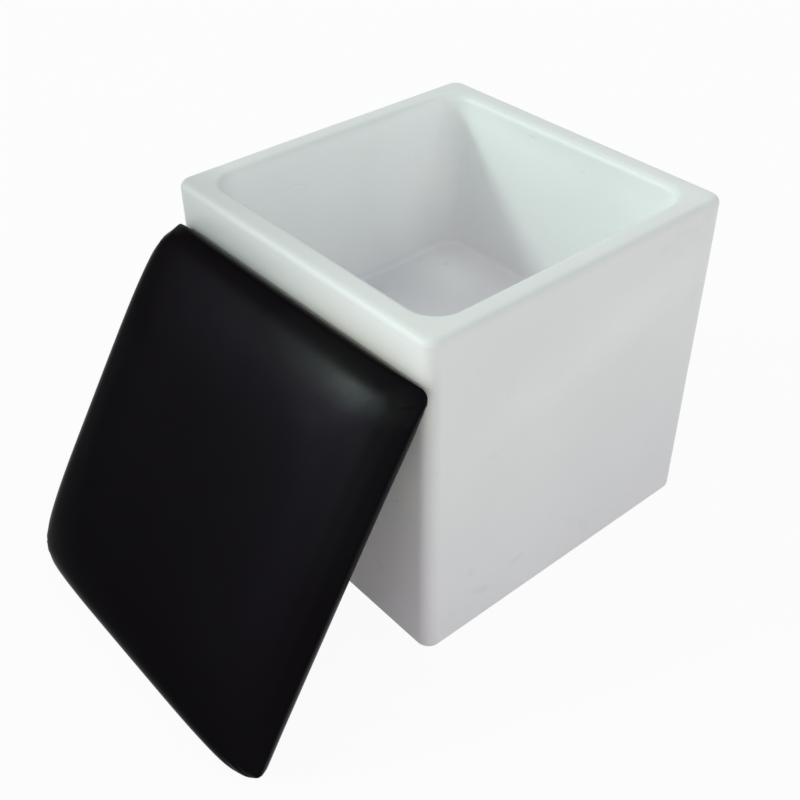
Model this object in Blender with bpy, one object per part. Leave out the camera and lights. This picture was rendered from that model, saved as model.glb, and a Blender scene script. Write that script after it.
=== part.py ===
"""A light-up storage stool.

A square double-walled tub is moulded in one piece. Its upper half is a storage bucket, and
the closed space below the bucket holds a rechargeable lamp, screwed into the base from
below. The padded lid is off and leans against one side of the tub.

Metres, +Z up. The tub and the lid are each built in a frame of their own. The lid's own
frame has its underside at height zero, its padding above it and X up the slope.
"""

import math

import bmesh
import bpy
from mathutils import Matrix, Vector

# The tub
TUB_SIDE = 0.400
TUB_HEIGHT = 0.392
SKIN = 0.0042
UPRIGHT_EDGE_RADIUS = 0.016
RIM_OUTER_RADIUS = 0.008
RIM_INNER_RADIUS = 0.008
BASE_EDGE_RADIUS = 0.008
RIM_WIDTH = 0.0275
MOUTH_CORNER_RADIUS = 0.030
BUCKET_DRAFT = 0.007
BUCKET_FLOOR_HEIGHT = 0.195
BUCKET_FLOOR_FILLET = 0.014

# The underside of the tub
STAND_WIDTH = 0.046
STAND_STEP = 0.006
STAND_CORNER_RADIUS = 0.030
STEP_FILLET = 0.002
LAMP_WELL_DEPTH = 0.024
WELL_FILLET = 0.004
BOSS_RADIUS = 0.0075
BOSS_WALL = 0.003
BOSS_START_ANGLE = math.radians(45)

# Threaded inserts, screws and the seal of the lamp
FIT_GAP = 0.0003
INSERT_RADIUS = 0.0034
INSERT_WAIST_RADIUS = 0.0029
INSERT_BORE_RADIUS = 0.0024
INSERT_LENGTH = 0.009
LAMP_SCREW_COUNT = 4
LAMP_SCREW_RADIUS = 0.0020
LAMP_SCREW_HEAD_RADIUS = 0.0040
LAMP_SCREW_HEAD_HEIGHT = 0.0024
LAMP_SCREW_LENGTH = 0.0135
GASKET_THICKNESS = 0.0016
GASKET_WIDTH = 0.007
GASKET_MARGIN = 0.001
SCREW_ROOM = 0.007

# The lamp's cup
FLANGE_THICKNESS = 0.003
FLANGE_EDGE = 0.008
FLANGE_CLEARANCE = 0.006
FLANGE_EDGE_RADIUS = 0.001
CUP_WALL = 0.0022
CUP_CLEARANCE = 0.002
CUP_CORNER_ROOM = 0.0023
PILLAR_RADIUS = 0.0045
PILLAR_MERGE = 0.0006
PILLAR_DROP = 0.0005
POST_RADIUS = 0.0026
POST_ROOM = 0.0005

# Cells and their clamp
CELL_RADIUS = 0.0091
CELL_LENGTH = 0.065
CELL_EDGE_RADIUS = 0.0008
CELL_CAP_RADIUS = 0.0035
CELL_CAP_HEIGHT = 0.0012
CELL_GAP = 0.0004
CELL_ROW_START = 0.0018
CRADLE_HEIGHT = 0.003
CRADLE_THICKNESS = 0.0018
CRADLE_LENGTH = 0.050
CLAMP_THICKNESS = 0.0012
CLAMP_WIDTH = 0.012
CLAMP_FOOT = 0.0064
CLAMP_POST_HEIGHT = 0.006
CLAMP_BEND_RADIUS = 0.0025

# Control board, switch and button
CONTROL_LENGTH = 0.056
CONTROL_WIDTH = 0.028
BOARD_THICKNESS = 0.0016
STANDOFF_RADIUS = 0.003
STANDOFF_INSET = 0.005
CONTROLS_GAP = 0.004
BUTTON_RADIUS = 0.0060
BUTTON_FLANGE_RADIUS = 0.0078
BUTTON_FLANGE_THICKNESS = 0.0012
BUTTON_PROUD = 0.0014
BUTTON_EDGE_RADIUS = 0.0008
BUTTON_GUIDE = 0.0004
BUTTON_TRAVEL = 0.0012
BUTTON_ROOM = 0.0010
PLUNGER_RADIUS = 0.0017
PLUNGER_GUIDE = 0.0004
PLUNGER_REACH = 0.0015
SWITCH_SIDE = 0.008
SWITCH_HEIGHT = 0.0052

# Charging jack and its bung
JACK_RADIUS = 0.0040
JACK_FLANGE_RADIUS = 0.0060
JACK_FLANGE_THICKNESS = 0.0012
JACK_BORE_RADIUS = 0.00275
JACK_BORE_DEPTH = 0.0095
JACK_PIN_RADIUS = 0.0009
JACK_PIN_LENGTH = 0.0045
NUT_RADIUS = 0.0065
NUT_THICKNESS = 0.0024
BUNG_RADIUS = 0.0066
BUNG_THICKNESS = 0.0016
BUNG_STEM_RADIUS = 0.0024
BUNG_STEM_LENGTH = 0.0042
BUNG_TAB_LENGTH = 0.0040
BUNG_TAB_WIDTH = 0.0050
BUNG_TAB_INSET = 0.0003

# Board of light-emitting diodes and the dome over it
LEAD_ROOM = 0.0150
LED_BOARD_DROP = 0.0045
BOARD_EDGE = 0.0008
BOARD_CLEARANCE = 0.0010
LED_COUNT = 8
LED_SIDE = 0.0050
LED_HEIGHT = 0.0016
LED_CIRCLE_SHARE = 0.66
LED_BEVEL = 0.0004
DOME_FLANGE_THICKNESS = 0.0022
DOME_WALL = 0.0020
DOME_RISE = 0.0240
DOME_SHOULDER = 0.0015
SMALL_SCREW_RADIUS = 0.0012
SMALL_SCREW_HEAD_RADIUS = 0.0024
SMALL_SCREW_HEAD_HEIGHT = 0.0016
SMALL_SCREW_LENGTH = 0.0055
LEAD_RADIUS = 0.0011
LEAD_ARCH = 0.0060
LEAD_INSET = 0.0030
LEAD_CELL_INSET = 0.0075

# The lid
LID_OVERHANG = 0.00725
LID_CORNER_RADIUS = 0.024
LID_EDGE_HEIGHT = 0.037
LID_CROWN_HEIGHT = 0.052
LID_TUCK = 0.010
LID_UNDER_EDGE_RADIUS = 0.004
LID_RIDGE_RADIUS = 0.012
LID_CROWN_SHARES = (0.89, 0.75, 0.57, 0.34, 0)
LID_CROWN_BEND_SHARE = 3.0
LID_CORNER_DROP_SHARE = 0.60
LID_CORNER_SPREAD_SHARE = 2.3
LID_EDGE_FADE_SHARE = 8
FOAM_GAP = 0.0005
COVER_THICKNESS = 0.0012
COVER_TURN_IN = 0.038
LID_BOARD_THICKNESS = 0.012
LID_BOARD_CLEARANCE = 0.0025
LID_BOARD_CORNER_RADIUS = 0.026
LINING_THICKNESS = 0.0008
LINING_MARGIN = 0.010
LINING_CORNER_RADIUS = 0.012
BATTEN_END_ROOM = 0.0625
BATTEN_WIDTH = 0.020
BATTEN_THICKNESS = 0.013
BATTEN_EDGE_RADIUS = 0.002
BATTEN_CLEARANCE = 0.002
BATTEN_SCREW_INSET = 0.030
BATTEN_SCREW_RADIUS = 0.0018
BATTEN_SCREW_HEAD_RADIUS = 0.0036
BATTEN_SCREW_HEAD_HEIGHT = 0.0022
BATTEN_SCREW_BITE = 0.008
BATTEN_SCREW_RECESS = 0.0030

# How the lid leans: its length reaches this share of the way up the tub's side
LID_LEAN_SHARE = 0.8967
LID_SHIFT_ALONG_WALL = -0.0042
LEAN_GAP = 0.0003

# Overrun of every cut and join
OVERRUN = 0.001

# Facets
CORNER_STEPS = 6
FILLET_STEPS = 3
BIG_TURN_SIDES = 32
SMALL_TURN_SIDES = 16
SCREW_SIDES = 10
LID_CORNER_STEPS = 3
LID_SIDE_STEPS = 7

# Places worked out from the sizes above
tub_half = TUB_SIDE / 2
mouth_half = tub_half - RIM_WIDTH
bucket_floor_half = mouth_half - BUCKET_DRAFT
flange_top = LAMP_WELL_DEPTH - GASKET_THICKNESS - 2 * FIT_GAP
flange_bottom = flange_top - FLANGE_THICKNESS

# Cells lie side by side in the +Y half of the cup and the control board in the -Y half
cell_1_y = CELL_ROW_START + CELL_RADIUS
cell_2_y = cell_1_y + 2 * CELL_RADIUS + CELL_GAP
cell_row_end = cell_2_y + CELL_RADIUS
cell_height = flange_top + FIT_GAP + CELL_RADIUS
cells_top = cell_height + CELL_RADIUS
clamp_foot_height = flange_top + CLAMP_POST_HEIGHT + FIT_GAP
clamp_top = cells_top + FIT_GAP + CLAMP_THICKNESS
clamp_near_leg = CELL_ROW_START - FIT_GAP
clamp_far_leg = cell_row_end + FIT_GAP
clamp_near_screw = clamp_near_leg - CLAMP_FOOT / 2 - CLAMP_THICKNESS / 2
clamp_far_screw = clamp_far_leg + CLAMP_FOOT / 2 + CLAMP_THICKNESS / 2
control_near = clamp_near_leg - CLAMP_FOOT - POST_ROOM
control_y = control_near - CONTROL_WIDTH / 2
control_far = control_near - CONTROL_WIDTH
standoff_x = CONTROL_LENGTH / 2 - STANDOFF_INSET

# The cup is as small as what it holds lets it be
cup_inner_for_cells = math.hypot(CELL_LENGTH / 2, cell_row_end) + CUP_CORNER_ROOM
cup_inner_for_board = math.hypot(CONTROL_LENGTH / 2, control_far) + CUP_CORNER_ROOM
pillar_depth = 2 * PILLAR_RADIUS - PILLAR_MERGE
posts_depth = 2 * POST_RADIUS + BOARD_EDGE + BOARD_CLEARANCE
cup_inner_for_posts = POST_ROOM - control_far + posts_depth + pillar_depth
cup_inner = max(cup_inner_for_cells, cup_inner_for_board, cup_inner_for_posts)
cup_radius = cup_inner + CUP_WALL
pillar_circle = cup_inner - pillar_depth + PILLAR_RADIUS
led_board_radius = pillar_circle - PILLAR_RADIUS - BOARD_CLEARANCE
post_circle = led_board_radius - BOARD_EDGE - POST_RADIUS
led_board_bottom = clamp_top + LEAD_ROOM
led_board_top = led_board_bottom + BOARD_THICKNESS
cup_rim = led_board_bottom + LED_BOARD_DROP
lamp_hole_radius = cup_radius + CUP_CLEARANCE
gasket_inner = lamp_hole_radius + GASKET_MARGIN
gasket_outer = gasket_inner + GASKET_WIDTH
bolt_circle = gasket_outer + SCREW_ROOM
flange_radius = bolt_circle + FLANGE_EDGE
well_radius = flange_radius + FLANGE_CLEARANCE
pillar_angles = [math.radians(angle) for angle in (30, 150, 270)]
post_angles = [math.radians(angle) for angle in (0, 180, 270)]

# The button and the jack share the control board's centre line
controls_spacing = BUTTON_FLANGE_RADIUS + NUT_RADIUS + CONTROLS_GAP
button_x = -controls_spacing / 2
jack_x = controls_spacing / 2
button_flange_top = flange_top + FIT_GAP + BUTTON_FLANGE_THICKNESS
switch_bottom = button_flange_top + BUTTON_TRAVEL + BUTTON_ROOM
control_bottom = switch_bottom + SWITCH_HEIGHT + FIT_GAP
control_top = control_bottom + BOARD_THICKNESS

# Stack of the lid, from its underside up
lid_half = tub_half + LID_OVERHANG
lid_board_bottom = COVER_THICKNESS + FIT_GAP
lid_board_top = lid_board_bottom + LID_BOARD_THICKNESS
lid_board_half = lid_half - LID_TUCK - COVER_THICKNESS - LID_BOARD_CLEARANCE
foam_bottom = lid_board_top + FIT_GAP
lining_top = -FIT_GAP
lining_bottom = lining_top - LINING_THICKNESS
lining_half = lid_half - LID_TUCK - LINING_MARGIN
batten_top = lining_bottom - FIT_GAP
batten_bottom = batten_top - BATTEN_THICKNESS
batten_offset = mouth_half - BATTEN_CLEARANCE - BATTEN_WIDTH / 2
batten_half_length = mouth_half - BATTEN_END_ROOM
batten_screw_step = batten_half_length - BATTEN_SCREW_INSET
batten_screw_head = batten_bottom + BATTEN_SCREW_RECESS

# A lid longer than the tub is high leans further out, so that its top edge still meets the wall
lid_lean = math.asin(LID_LEAN_SHARE * min(TUB_HEIGHT, 2 * lid_half) / (2 * lid_half))


def clear_scene():
    for old in list(bpy.data.objects):
        bpy.data.objects.remove(old, do_unlink=True)


def material(name, colour, roughness, metallic=0.0, alpha=1.0):
    made = bpy.data.materials.new(name)
    made.use_nodes = True
    shader = made.node_tree.nodes["Principled BSDF"]
    shader.inputs["Base Color"].default_value = (*colour, 1.0)
    shader.inputs["Roughness"].default_value = roughness
    shader.inputs["Metallic"].default_value = metallic
    shader.inputs["Alpha"].default_value = alpha
    made.diffuse_color = (*colour, alpha)
    return made


def empty(name, parent=None, location=(0, 0, 0)):
    made = bpy.data.objects.new(name, None)
    bpy.context.scene.collection.objects.link(made)
    made.parent = parent
    made.location = location
    return made


def new_object(name, bm, finish, parent, location=(0, 0, 0), smooth_below=math.radians(32)):
    """Turns a bmesh into a named object with its faces pointing out."""
    bmesh.ops.recalc_face_normals(bm, faces=bm.faces)
    mesh = bpy.data.meshes.new(name)
    bm.to_mesh(mesh)
    bm.free()
    mesh.shade_smooth()
    mesh.set_sharp_from_angle(angle=smooth_below)
    mesh.materials.append(finish)
    made = bpy.data.objects.new(name, mesh)
    bpy.context.scene.collection.objects.link(made)
    made.parent = parent
    made.location = location
    return made


def as_helper(made):
    made.hide_render = True
    made.display_type = "WIRE"
    return made


def add_boolean(target, tool, operation):
    step = target.modifiers.new(tool.name, "BOOLEAN")
    step.operation = operation
    step.solver = "EXACT"
    step.object = tool


def corner_offset(before, here, after, inset):
    """The corner moved by inset to the left of a path, with the turn there and its direction."""
    come = (Vector(here) - Vector(before)).normalized()
    leave = (Vector(after) - Vector(here)).normalized()
    left_of_come = Vector((-come.y, come.x))
    left_of_leave = Vector((-leave.y, leave.x))
    moved = Vector(here) + (left_of_come + left_of_leave) * inset / (1 + left_of_come.dot(left_of_leave))
    turn = math.atan2(come.x * leave.y - come.y * leave.x, come.dot(leave))
    return moved, come, turn


def filleted_path(corners, inset=0.0, steps=FILLET_STEPS):
    """Points (x, z, corner) along a path whose corners are (x, z, fillet radius).

    The path has the solid on its left, and inset moves it to the left, so that the fillets
    of a wall's two faces share their centres. The last item of each point is the number of
    the corner that it belongs to.
    """
    flat = [(corner[0], corner[1]) for corner in corners]
    start = (Vector(flat[1]) - Vector(flat[0])).normalized()
    end = (Vector(flat[-1]) - Vector(flat[-2])).normalized()
    first = Vector(flat[0]) + Vector((-start.y, start.x)) * inset
    last = Vector(flat[-1]) + Vector((-end.y, end.x)) * inset
    points = [(first.x, first.y, 0)]
    for number in range(1, len(corners) - 1):
        moved, come, turn = corner_offset(flat[number - 1], flat[number], flat[number + 1], inset)
        side = 1 if turn > 0 else -1
        radius = max(corners[number][2] - side * inset, 0)
        if radius == 0:
            points.append((moved.x, moved.y, number))
            continue
        arc_start = moved - come * radius * math.tan(abs(turn) / 2)
        centre = arc_start + Vector((-come.y, come.x)) * radius * side
        spoke = arc_start - centre
        for step in range(steps + 1):
            rim = spoke.copy()
            rim.rotate(Matrix.Rotation(turn * step / steps, 2))
            points.append((centre.x + rim.x, centre.y + rim.y, number))
    points.append((last.x, last.y, len(corners) - 1))
    return points


def square_ring(half, corner_radius, height, steps=CORNER_STEPS):
    """A level ring of points: a square with round corners, or a circle where the corners fill it."""
    round_ring = corner_radius >= half
    reach = 0 if round_ring else half - corner_radius
    radius = half if round_ring else corner_radius
    points = []
    for quarter in range(4):
        middle = math.pi / 4 + quarter * math.pi / 2
        spread = math.pi / 2 * (steps / (steps + 1) if round_ring else 1)
        centre_x = math.copysign(reach, math.cos(middle))
        centre_y = math.copysign(reach, math.sin(middle))
        for step in range(steps + 1):
            angle = middle + spread * (step / steps - 1 / 2)
            points.append((centre_x + radius * math.cos(angle), centre_y + radius * math.sin(angle), height))
    return points


def circle_ring(radius, height, sides):
    turn = 2 * math.pi / sides
    return [(radius * math.cos(k * turn), radius * math.sin(k * turn), height) for k in range(sides)]


def add_loft(bm, rings, place=Matrix.Identity(4), closed=False):
    """Skins rings of equal point counts. A ring of one point is a pole.

    An open loft gets flat caps on its first and last rings, and a closed one joins its last
    ring to its first.
    """
    layers = [[bm.verts.new(place @ Vector(point)) for point in ring] for ring in rings]
    pairs = list(zip(layers, layers[1:]))
    if closed:
        pairs.append((layers[-1], layers[0]))
    for lower, upper in pairs:
        count = max(len(lower), len(upper))
        for k in range(count):
            following = (k + 1) % count
            if len(lower) == 1:
                bm.faces.new((lower[0], upper[k], upper[following]))
            elif len(upper) == 1:
                bm.faces.new((lower[k], lower[following], upper[0]))
            else:
                bm.faces.new((lower[k], lower[following], upper[following], upper[k]))
    if not closed:
        for layer in (layers[0], layers[-1]):
            if len(layer) > 2:
                bm.faces.new(layer)


def add_turned(bm, profile, sides, place=Matrix.Identity(4), closed=False):
    """Turns a profile of (radius, height) points about the Z axis."""
    rings = []
    for radius, height in profile:
        rings.append(circle_ring(radius, height, sides) if radius > 0 else [(0, 0, height)])
    add_loft(bm, rings, place, closed)


def add_cylinder(bm, x, y, low, high, radius, sides):
    add_turned(bm, [(radius, low), (radius, high)], sides, Matrix.Translation((x, y, 0)))


def add_box(bm, low, high):
    size = Vector(high) - Vector(low)
    middle = (Vector(high) + Vector(low)) / 2
    bmesh.ops.create_cube(bm, size=1, matrix=Matrix.Translation(middle) @ Matrix.Diagonal((*size, 1)))


def on_circle(radius, angle):
    return radius * math.cos(angle), radius * math.sin(angle)


def even_angles(count, start=0.0):
    return [start + 2 * math.pi * k / count for k in range(count)]


def tub_section():
    """Corners of the tub's skin from the lamp hole out, up, over the rim and into the bucket.

    Each is (half width, height, fillet radius, plan corner radius). A plan corner radius
    equal to the half width is a circle.
    """
    stand_inner = tub_half - STAND_WIDTH
    return [
        (lamp_hole_radius, LAMP_WELL_DEPTH, 0, lamp_hole_radius),
        (well_radius, LAMP_WELL_DEPTH, WELL_FILLET, well_radius),
        (well_radius, STAND_STEP, WELL_FILLET, well_radius),
        (stand_inner, STAND_STEP, STEP_FILLET, STAND_CORNER_RADIUS),
        (stand_inner, 0, STEP_FILLET, STAND_CORNER_RADIUS),
        (tub_half, 0, BASE_EDGE_RADIUS, UPRIGHT_EDGE_RADIUS),
        (tub_half, TUB_HEIGHT, RIM_OUTER_RADIUS, UPRIGHT_EDGE_RADIUS),
        (mouth_half, TUB_HEIGHT, RIM_INNER_RADIUS, MOUTH_CORNER_RADIUS),
        (bucket_floor_half, BUCKET_FLOOR_HEIGHT, BUCKET_FLOOR_FILLET, MOUTH_CORNER_RADIUS),
        (0, BUCKET_FLOOR_HEIGHT, 0, 0),
    ]


def tub_skin_rings(inset):
    """Level rings of one face of the skin. The last point of the path, at the centre, is capped."""
    corners = tub_section()
    rings = []
    for half, height, number in filleted_path(corners, inset)[:-1]:
        own_half = corners[number][0]
        plan_radius = corners[number][3] + half - own_half
        if corners[number][3] == own_half:
            plan_radius = half
        rings.append(square_ring(half, plan_radius, height))
    return rings


def make_tub_shell(frame, finish):
    """One skin of even thickness: its outer face, then its inner face, joined at the lamp hole."""
    bm = bmesh.new()
    outer = tub_skin_rings(0)
    inner = tub_skin_rings(SKIN)
    add_loft(bm, outer[::-1] + inner)
    shell = new_object("tub_shell", bm, finish, frame)

    bosses = bmesh.new()
    pockets = bmesh.new()
    pocket_top = LAMP_WELL_DEPTH + INSERT_LENGTH + 2 * FIT_GAP
    for angle in even_angles(LAMP_SCREW_COUNT, BOSS_START_ANGLE):
        x, y = on_circle(bolt_circle, angle)
        boss_foot = LAMP_WELL_DEPTH + SKIN / 2
        add_cylinder(bosses, x, y, boss_foot, pocket_top + BOSS_WALL, BOSS_RADIUS, SMALL_TURN_SIDES)
        pocket_mouth = LAMP_WELL_DEPTH - OVERRUN
        add_cylinder(pockets, x, y, pocket_mouth, pocket_top, INSERT_RADIUS + FIT_GAP, SCREW_SIDES)
    add_boolean(shell, as_helper(new_object("insert_bosses", bosses, finish, frame)), "UNION")
    add_boolean(shell, as_helper(new_object("insert_pockets", pockets, finish, frame)), "DIFFERENCE")
    return shell


def screw_mesh(head_radius, head_height, shank_radius, length, countersunk=False):
    """A screw with its point up: its head lies below height zero and its shank above."""
    tip = shank_radius
    crown_share = 0.72
    if countersunk:
        head = [(0, -head_height), (head_radius, -head_height), (shank_radius, 0)]
    else:
        head = [
            (0, -head_height),
            (head_radius * crown_share, -head_height),
            (head_radius, -head_height / 2),
            (head_radius, 0),
            (shank_radius, 0),
        ]
    bm = bmesh.new()
    add_turned(bm, head + [(shank_radius, length - tip), (0, length)], SCREW_SIDES)
    return bm


def make_inserts_and_screws(frame, brass, steel):
    band_share = 0.3
    band = INSERT_LENGTH * band_share
    profile = [
        (INSERT_BORE_RADIUS, 0),
        (INSERT_RADIUS, 0),
        (INSERT_RADIUS, band),
        (INSERT_WAIST_RADIUS, band),
        (INSERT_WAIST_RADIUS, INSERT_LENGTH - band),
        (INSERT_RADIUS, INSERT_LENGTH - band),
        (INSERT_RADIUS, INSERT_LENGTH),
        (INSERT_BORE_RADIUS, INSERT_LENGTH),
    ]
    for number, angle in enumerate(even_angles(LAMP_SCREW_COUNT, BOSS_START_ANGLE), 1):
        x, y = on_circle(bolt_circle, angle)
        bm = bmesh.new()
        add_turned(bm, profile, SCREW_SIDES, closed=True)
        seat = (x, y, LAMP_WELL_DEPTH + FIT_GAP)
        new_object(f"threaded_insert_{number}", bm, brass, frame, seat)
        screw = screw_mesh(
            LAMP_SCREW_HEAD_RADIUS, LAMP_SCREW_HEAD_HEIGHT, LAMP_SCREW_RADIUS, LAMP_SCREW_LENGTH
        )
        new_object(f"lamp_screw_{number}", screw, steel, frame, (x, y, flange_bottom - FIT_GAP))


def make_gasket(frame, finish):
    bm = bmesh.new()
    low = flange_top + FIT_GAP
    profile = [
        (gasket_inner, low),
        (gasket_outer, low),
        (gasket_outer, low + GASKET_THICKNESS),
        (gasket_inner, low + GASKET_THICKNESS),
    ]
    add_turned(bm, profile, BIG_TURN_SIDES, closed=True)
    new_object("lamp_gasket", bm, finish, frame)


def make_lamp_base(frame, finish):
    """The flanged cup, with its pillars, posts, standoffs and cell cradle, and every hole in it."""
    corners = [
        (0, flange_bottom, 0),
        (flange_radius, flange_bottom, FLANGE_EDGE_RADIUS),
        (flange_radius, flange_top, 0),
        (cup_radius, flange_top, 0),
        (cup_radius, cup_rim, 0),
        (cup_inner, cup_rim, 0),
        (cup_inner, flange_top, 0),
        (0, flange_top, 0),
    ]
    bm = bmesh.new()
    add_turned(bm, [point[:2] for point in filleted_path(corners)], BIG_TURN_SIDES)
    cup = new_object("lamp_base", bm, finish, frame)

    posts = bmesh.new()
    holes = bmesh.new()
    root = flange_top - FLANGE_THICKNESS / 2

    def post_with_hole(x, y, top, radius):
        add_cylinder(posts, x, y, root, top, radius, SMALL_TURN_SIDES)
        pilot_depth = SMALL_SCREW_LENGTH + FIT_GAP
        pilot_radius = SMALL_SCREW_RADIUS + FIT_GAP
        add_cylinder(holes, x, y, top - pilot_depth, top + OVERRUN, pilot_radius, SCREW_SIDES)

    for angle in pillar_angles:
        post_with_hole(*on_circle(pillar_circle, angle), cup_rim - PILLAR_DROP, PILLAR_RADIUS)
    for angle in post_angles:
        post_with_hole(*on_circle(post_circle, angle), led_board_bottom - FIT_GAP, POST_RADIUS)
    for x in (-standoff_x, standoff_x):
        post_with_hole(x, control_y, control_bottom - FIT_GAP, STANDOFF_RADIUS)
    for y in (clamp_near_screw, clamp_far_screw):
        post_with_hole(0, y, clamp_foot_height - FIT_GAP, POST_RADIUS)
    for y in ((cell_1_y + cell_2_y) / 2, CELL_ROW_START, cell_row_end):
        low = (-CRADLE_LENGTH / 2, y - CRADLE_THICKNESS / 2, root)
        high = (CRADLE_LENGTH / 2, y + CRADLE_THICKNESS / 2, flange_top + CRADLE_HEIGHT)
        add_box(posts, low, high)

    through = (flange_bottom - OVERRUN, flange_top + OVERRUN)
    for angle in even_angles(LAMP_SCREW_COUNT, BOSS_START_ANGLE):
        x, y = on_circle(bolt_circle, angle)
        add_cylinder(holes, x, y, *through, LAMP_SCREW_RADIUS + FIT_GAP, SCREW_SIDES)
    add_cylinder(holes, button_x, control_y, *through, BUTTON_RADIUS + BUTTON_GUIDE, SMALL_TURN_SIDES)
    add_cylinder(holes, jack_x, control_y, *through, JACK_RADIUS + FIT_GAP, SMALL_TURN_SIDES)
    add_boolean(cup, as_helper(new_object("base_posts", posts, finish, frame)), "UNION")
    add_boolean(cup, as_helper(new_object("base_holes", holes, finish, frame)), "DIFFERENCE")
    return cup


def small_screw(name, x, y, seat, steel, frame):
    """A small screw driven down from above into the height seat."""
    bm = screw_mesh(SMALL_SCREW_HEAD_RADIUS, SMALL_SCREW_HEAD_HEIGHT, SMALL_SCREW_RADIUS, SMALL_SCREW_LENGTH)
    bmesh.ops.rotate(bm, verts=bm.verts, matrix=Matrix.Rotation(math.pi, 3, "X"))
    new_object(name, bm, steel, frame, (x, y, seat + FIT_GAP))


def make_cells(frame, wrap, steel):
    half = CELL_LENGTH / 2
    corners = [
        (0, -half, 0),
        (CELL_RADIUS, -half, CELL_EDGE_RADIUS),
        (CELL_RADIUS, half, CELL_EDGE_RADIUS),
        (CELL_CAP_RADIUS, half, 0),
        (CELL_CAP_RADIUS, half + CELL_CAP_HEIGHT, 0),
        (0, half + CELL_CAP_HEIGHT, 0),
    ]
    profile = [point[:2] for point in filleted_path(corners, steps=2)]
    for number, (y, end) in enumerate(((cell_1_y, 1), (cell_2_y, -1)), 1):
        bm = bmesh.new()
        add_turned(bm, profile, SMALL_TURN_SIDES, Matrix.Rotation(end * math.pi / 2, 4, "Y"))
        new_object(f"battery_cell_{number}", bm, wrap, frame, (0, y, cell_height))

    foot = clamp_foot_height
    top = clamp_top - CLAMP_THICKNESS
    near_edge = clamp_near_leg - CLAMP_THICKNESS - CLAMP_FOOT + POST_ROOM
    far_edge = clamp_far_leg + CLAMP_THICKNESS + CLAMP_FOOT - POST_ROOM
    path = [
        (far_edge, foot, 0),
        (clamp_far_leg, foot, 0),
        (clamp_far_leg, top, CLAMP_BEND_RADIUS),
        (clamp_near_leg, top, CLAMP_BEND_RADIUS),
        (clamp_near_leg, foot, 0),
        (near_edge, foot, 0),
    ]
    under = filleted_path(path)
    over = filleted_path(path, -CLAMP_THICKNESS)
    outline = [(0, y, z) for y, z, _ in under] + [(0, y, z) for y, z, _ in reversed(over)]
    bm = bmesh.new()
    sides = []
    for x in (-CLAMP_WIDTH / 2, CLAMP_WIDTH / 2):
        sides.append([(x, y, z) for _, y, z in outline])
    add_loft(bm, sides)
    clamp = new_object("battery_clamp", bm, steel, frame)
    holes = bmesh.new()
    for number, y in enumerate((clamp_near_screw, clamp_far_screw), 1):
        low = foot - OVERRUN
        high = foot + CLAMP_THICKNESS + OVERRUN
        add_cylinder(holes, 0, y, low, high, SMALL_SCREW_RADIUS + FIT_GAP, SCREW_SIDES)
        small_screw(f"clamp_screw_{number}", 0, y, foot + CLAMP_THICKNESS, steel, frame)
    add_boolean(clamp, as_helper(new_object("clamp_holes", holes, steel, frame)), "DIFFERENCE")


def make_control_board(frame, board, black, steel):
    bm = bmesh.new()
    low = (-CONTROL_LENGTH / 2, control_far, control_bottom)
    high = (CONTROL_LENGTH / 2, control_near, control_top)
    add_box(bm, low, high)
    control = new_object("control_board", bm, board, frame)
    holes = bmesh.new()
    for number, x in enumerate((-standoff_x, standoff_x), 1):
        span = (control_bottom - OVERRUN, control_top + OVERRUN)
        add_cylinder(holes, x, control_y, *span, SMALL_SCREW_RADIUS + FIT_GAP, SCREW_SIDES)
        small_screw(f"control_screw_{number}", x, control_y, control_top, steel, frame)
    add_boolean(control, as_helper(new_object("control_holes", holes, board, frame)), "DIFFERENCE")

    body = bmesh.new()
    reach = SWITCH_SIDE / 2
    add_box(body, (-reach, -reach, 0), (reach, reach, SWITCH_HEIGHT))
    switch = new_object("switch_body", body, black, frame, (button_x, control_y, switch_bottom))
    bore = bmesh.new()
    depth = PLUNGER_REACH + BUTTON_TRAVEL
    add_cylinder(bore, 0, 0, -OVERRUN, depth, PLUNGER_RADIUS + PLUNGER_GUIDE, SCREW_SIDES)
    bore_at = (button_x, control_y, switch_bottom)
    add_boolean(switch, as_helper(new_object("switch_bore", bore, black, frame, bore_at)), "DIFFERENCE")


def make_button(frame, white, black):
    """The button hangs on its flange inside the cup. Its frame is on the axis that it slides along."""
    slide = empty("button_slide", frame, (button_x, control_y, flange_bottom))
    shoulder = FLANGE_THICKNESS + FIT_GAP
    corners = [
        (0, -BUTTON_PROUD, 0),
        (BUTTON_RADIUS, -BUTTON_PROUD, BUTTON_EDGE_RADIUS),
        (BUTTON_RADIUS, shoulder, 0),
        (BUTTON_FLANGE_RADIUS, shoulder, 0),
        (BUTTON_FLANGE_RADIUS, shoulder + BUTTON_FLANGE_THICKNESS, 0),
        (0, shoulder + BUTTON_FLANGE_THICKNESS, 0),
    ]
    bm = bmesh.new()
    add_turned(bm, [point[:2] for point in filleted_path(corners)], SMALL_TURN_SIDES)
    new_object("power_button", bm, white, slide)
    foot = shoulder + BUTTON_FLANGE_THICKNESS + FIT_GAP
    top = switch_bottom - flange_bottom + PLUNGER_REACH - FIT_GAP
    stem = bmesh.new()
    add_cylinder(stem, 0, 0, foot, top, PLUNGER_RADIUS, SCREW_SIDES)
    new_object("switch_plunger", stem, black, slide)


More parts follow.
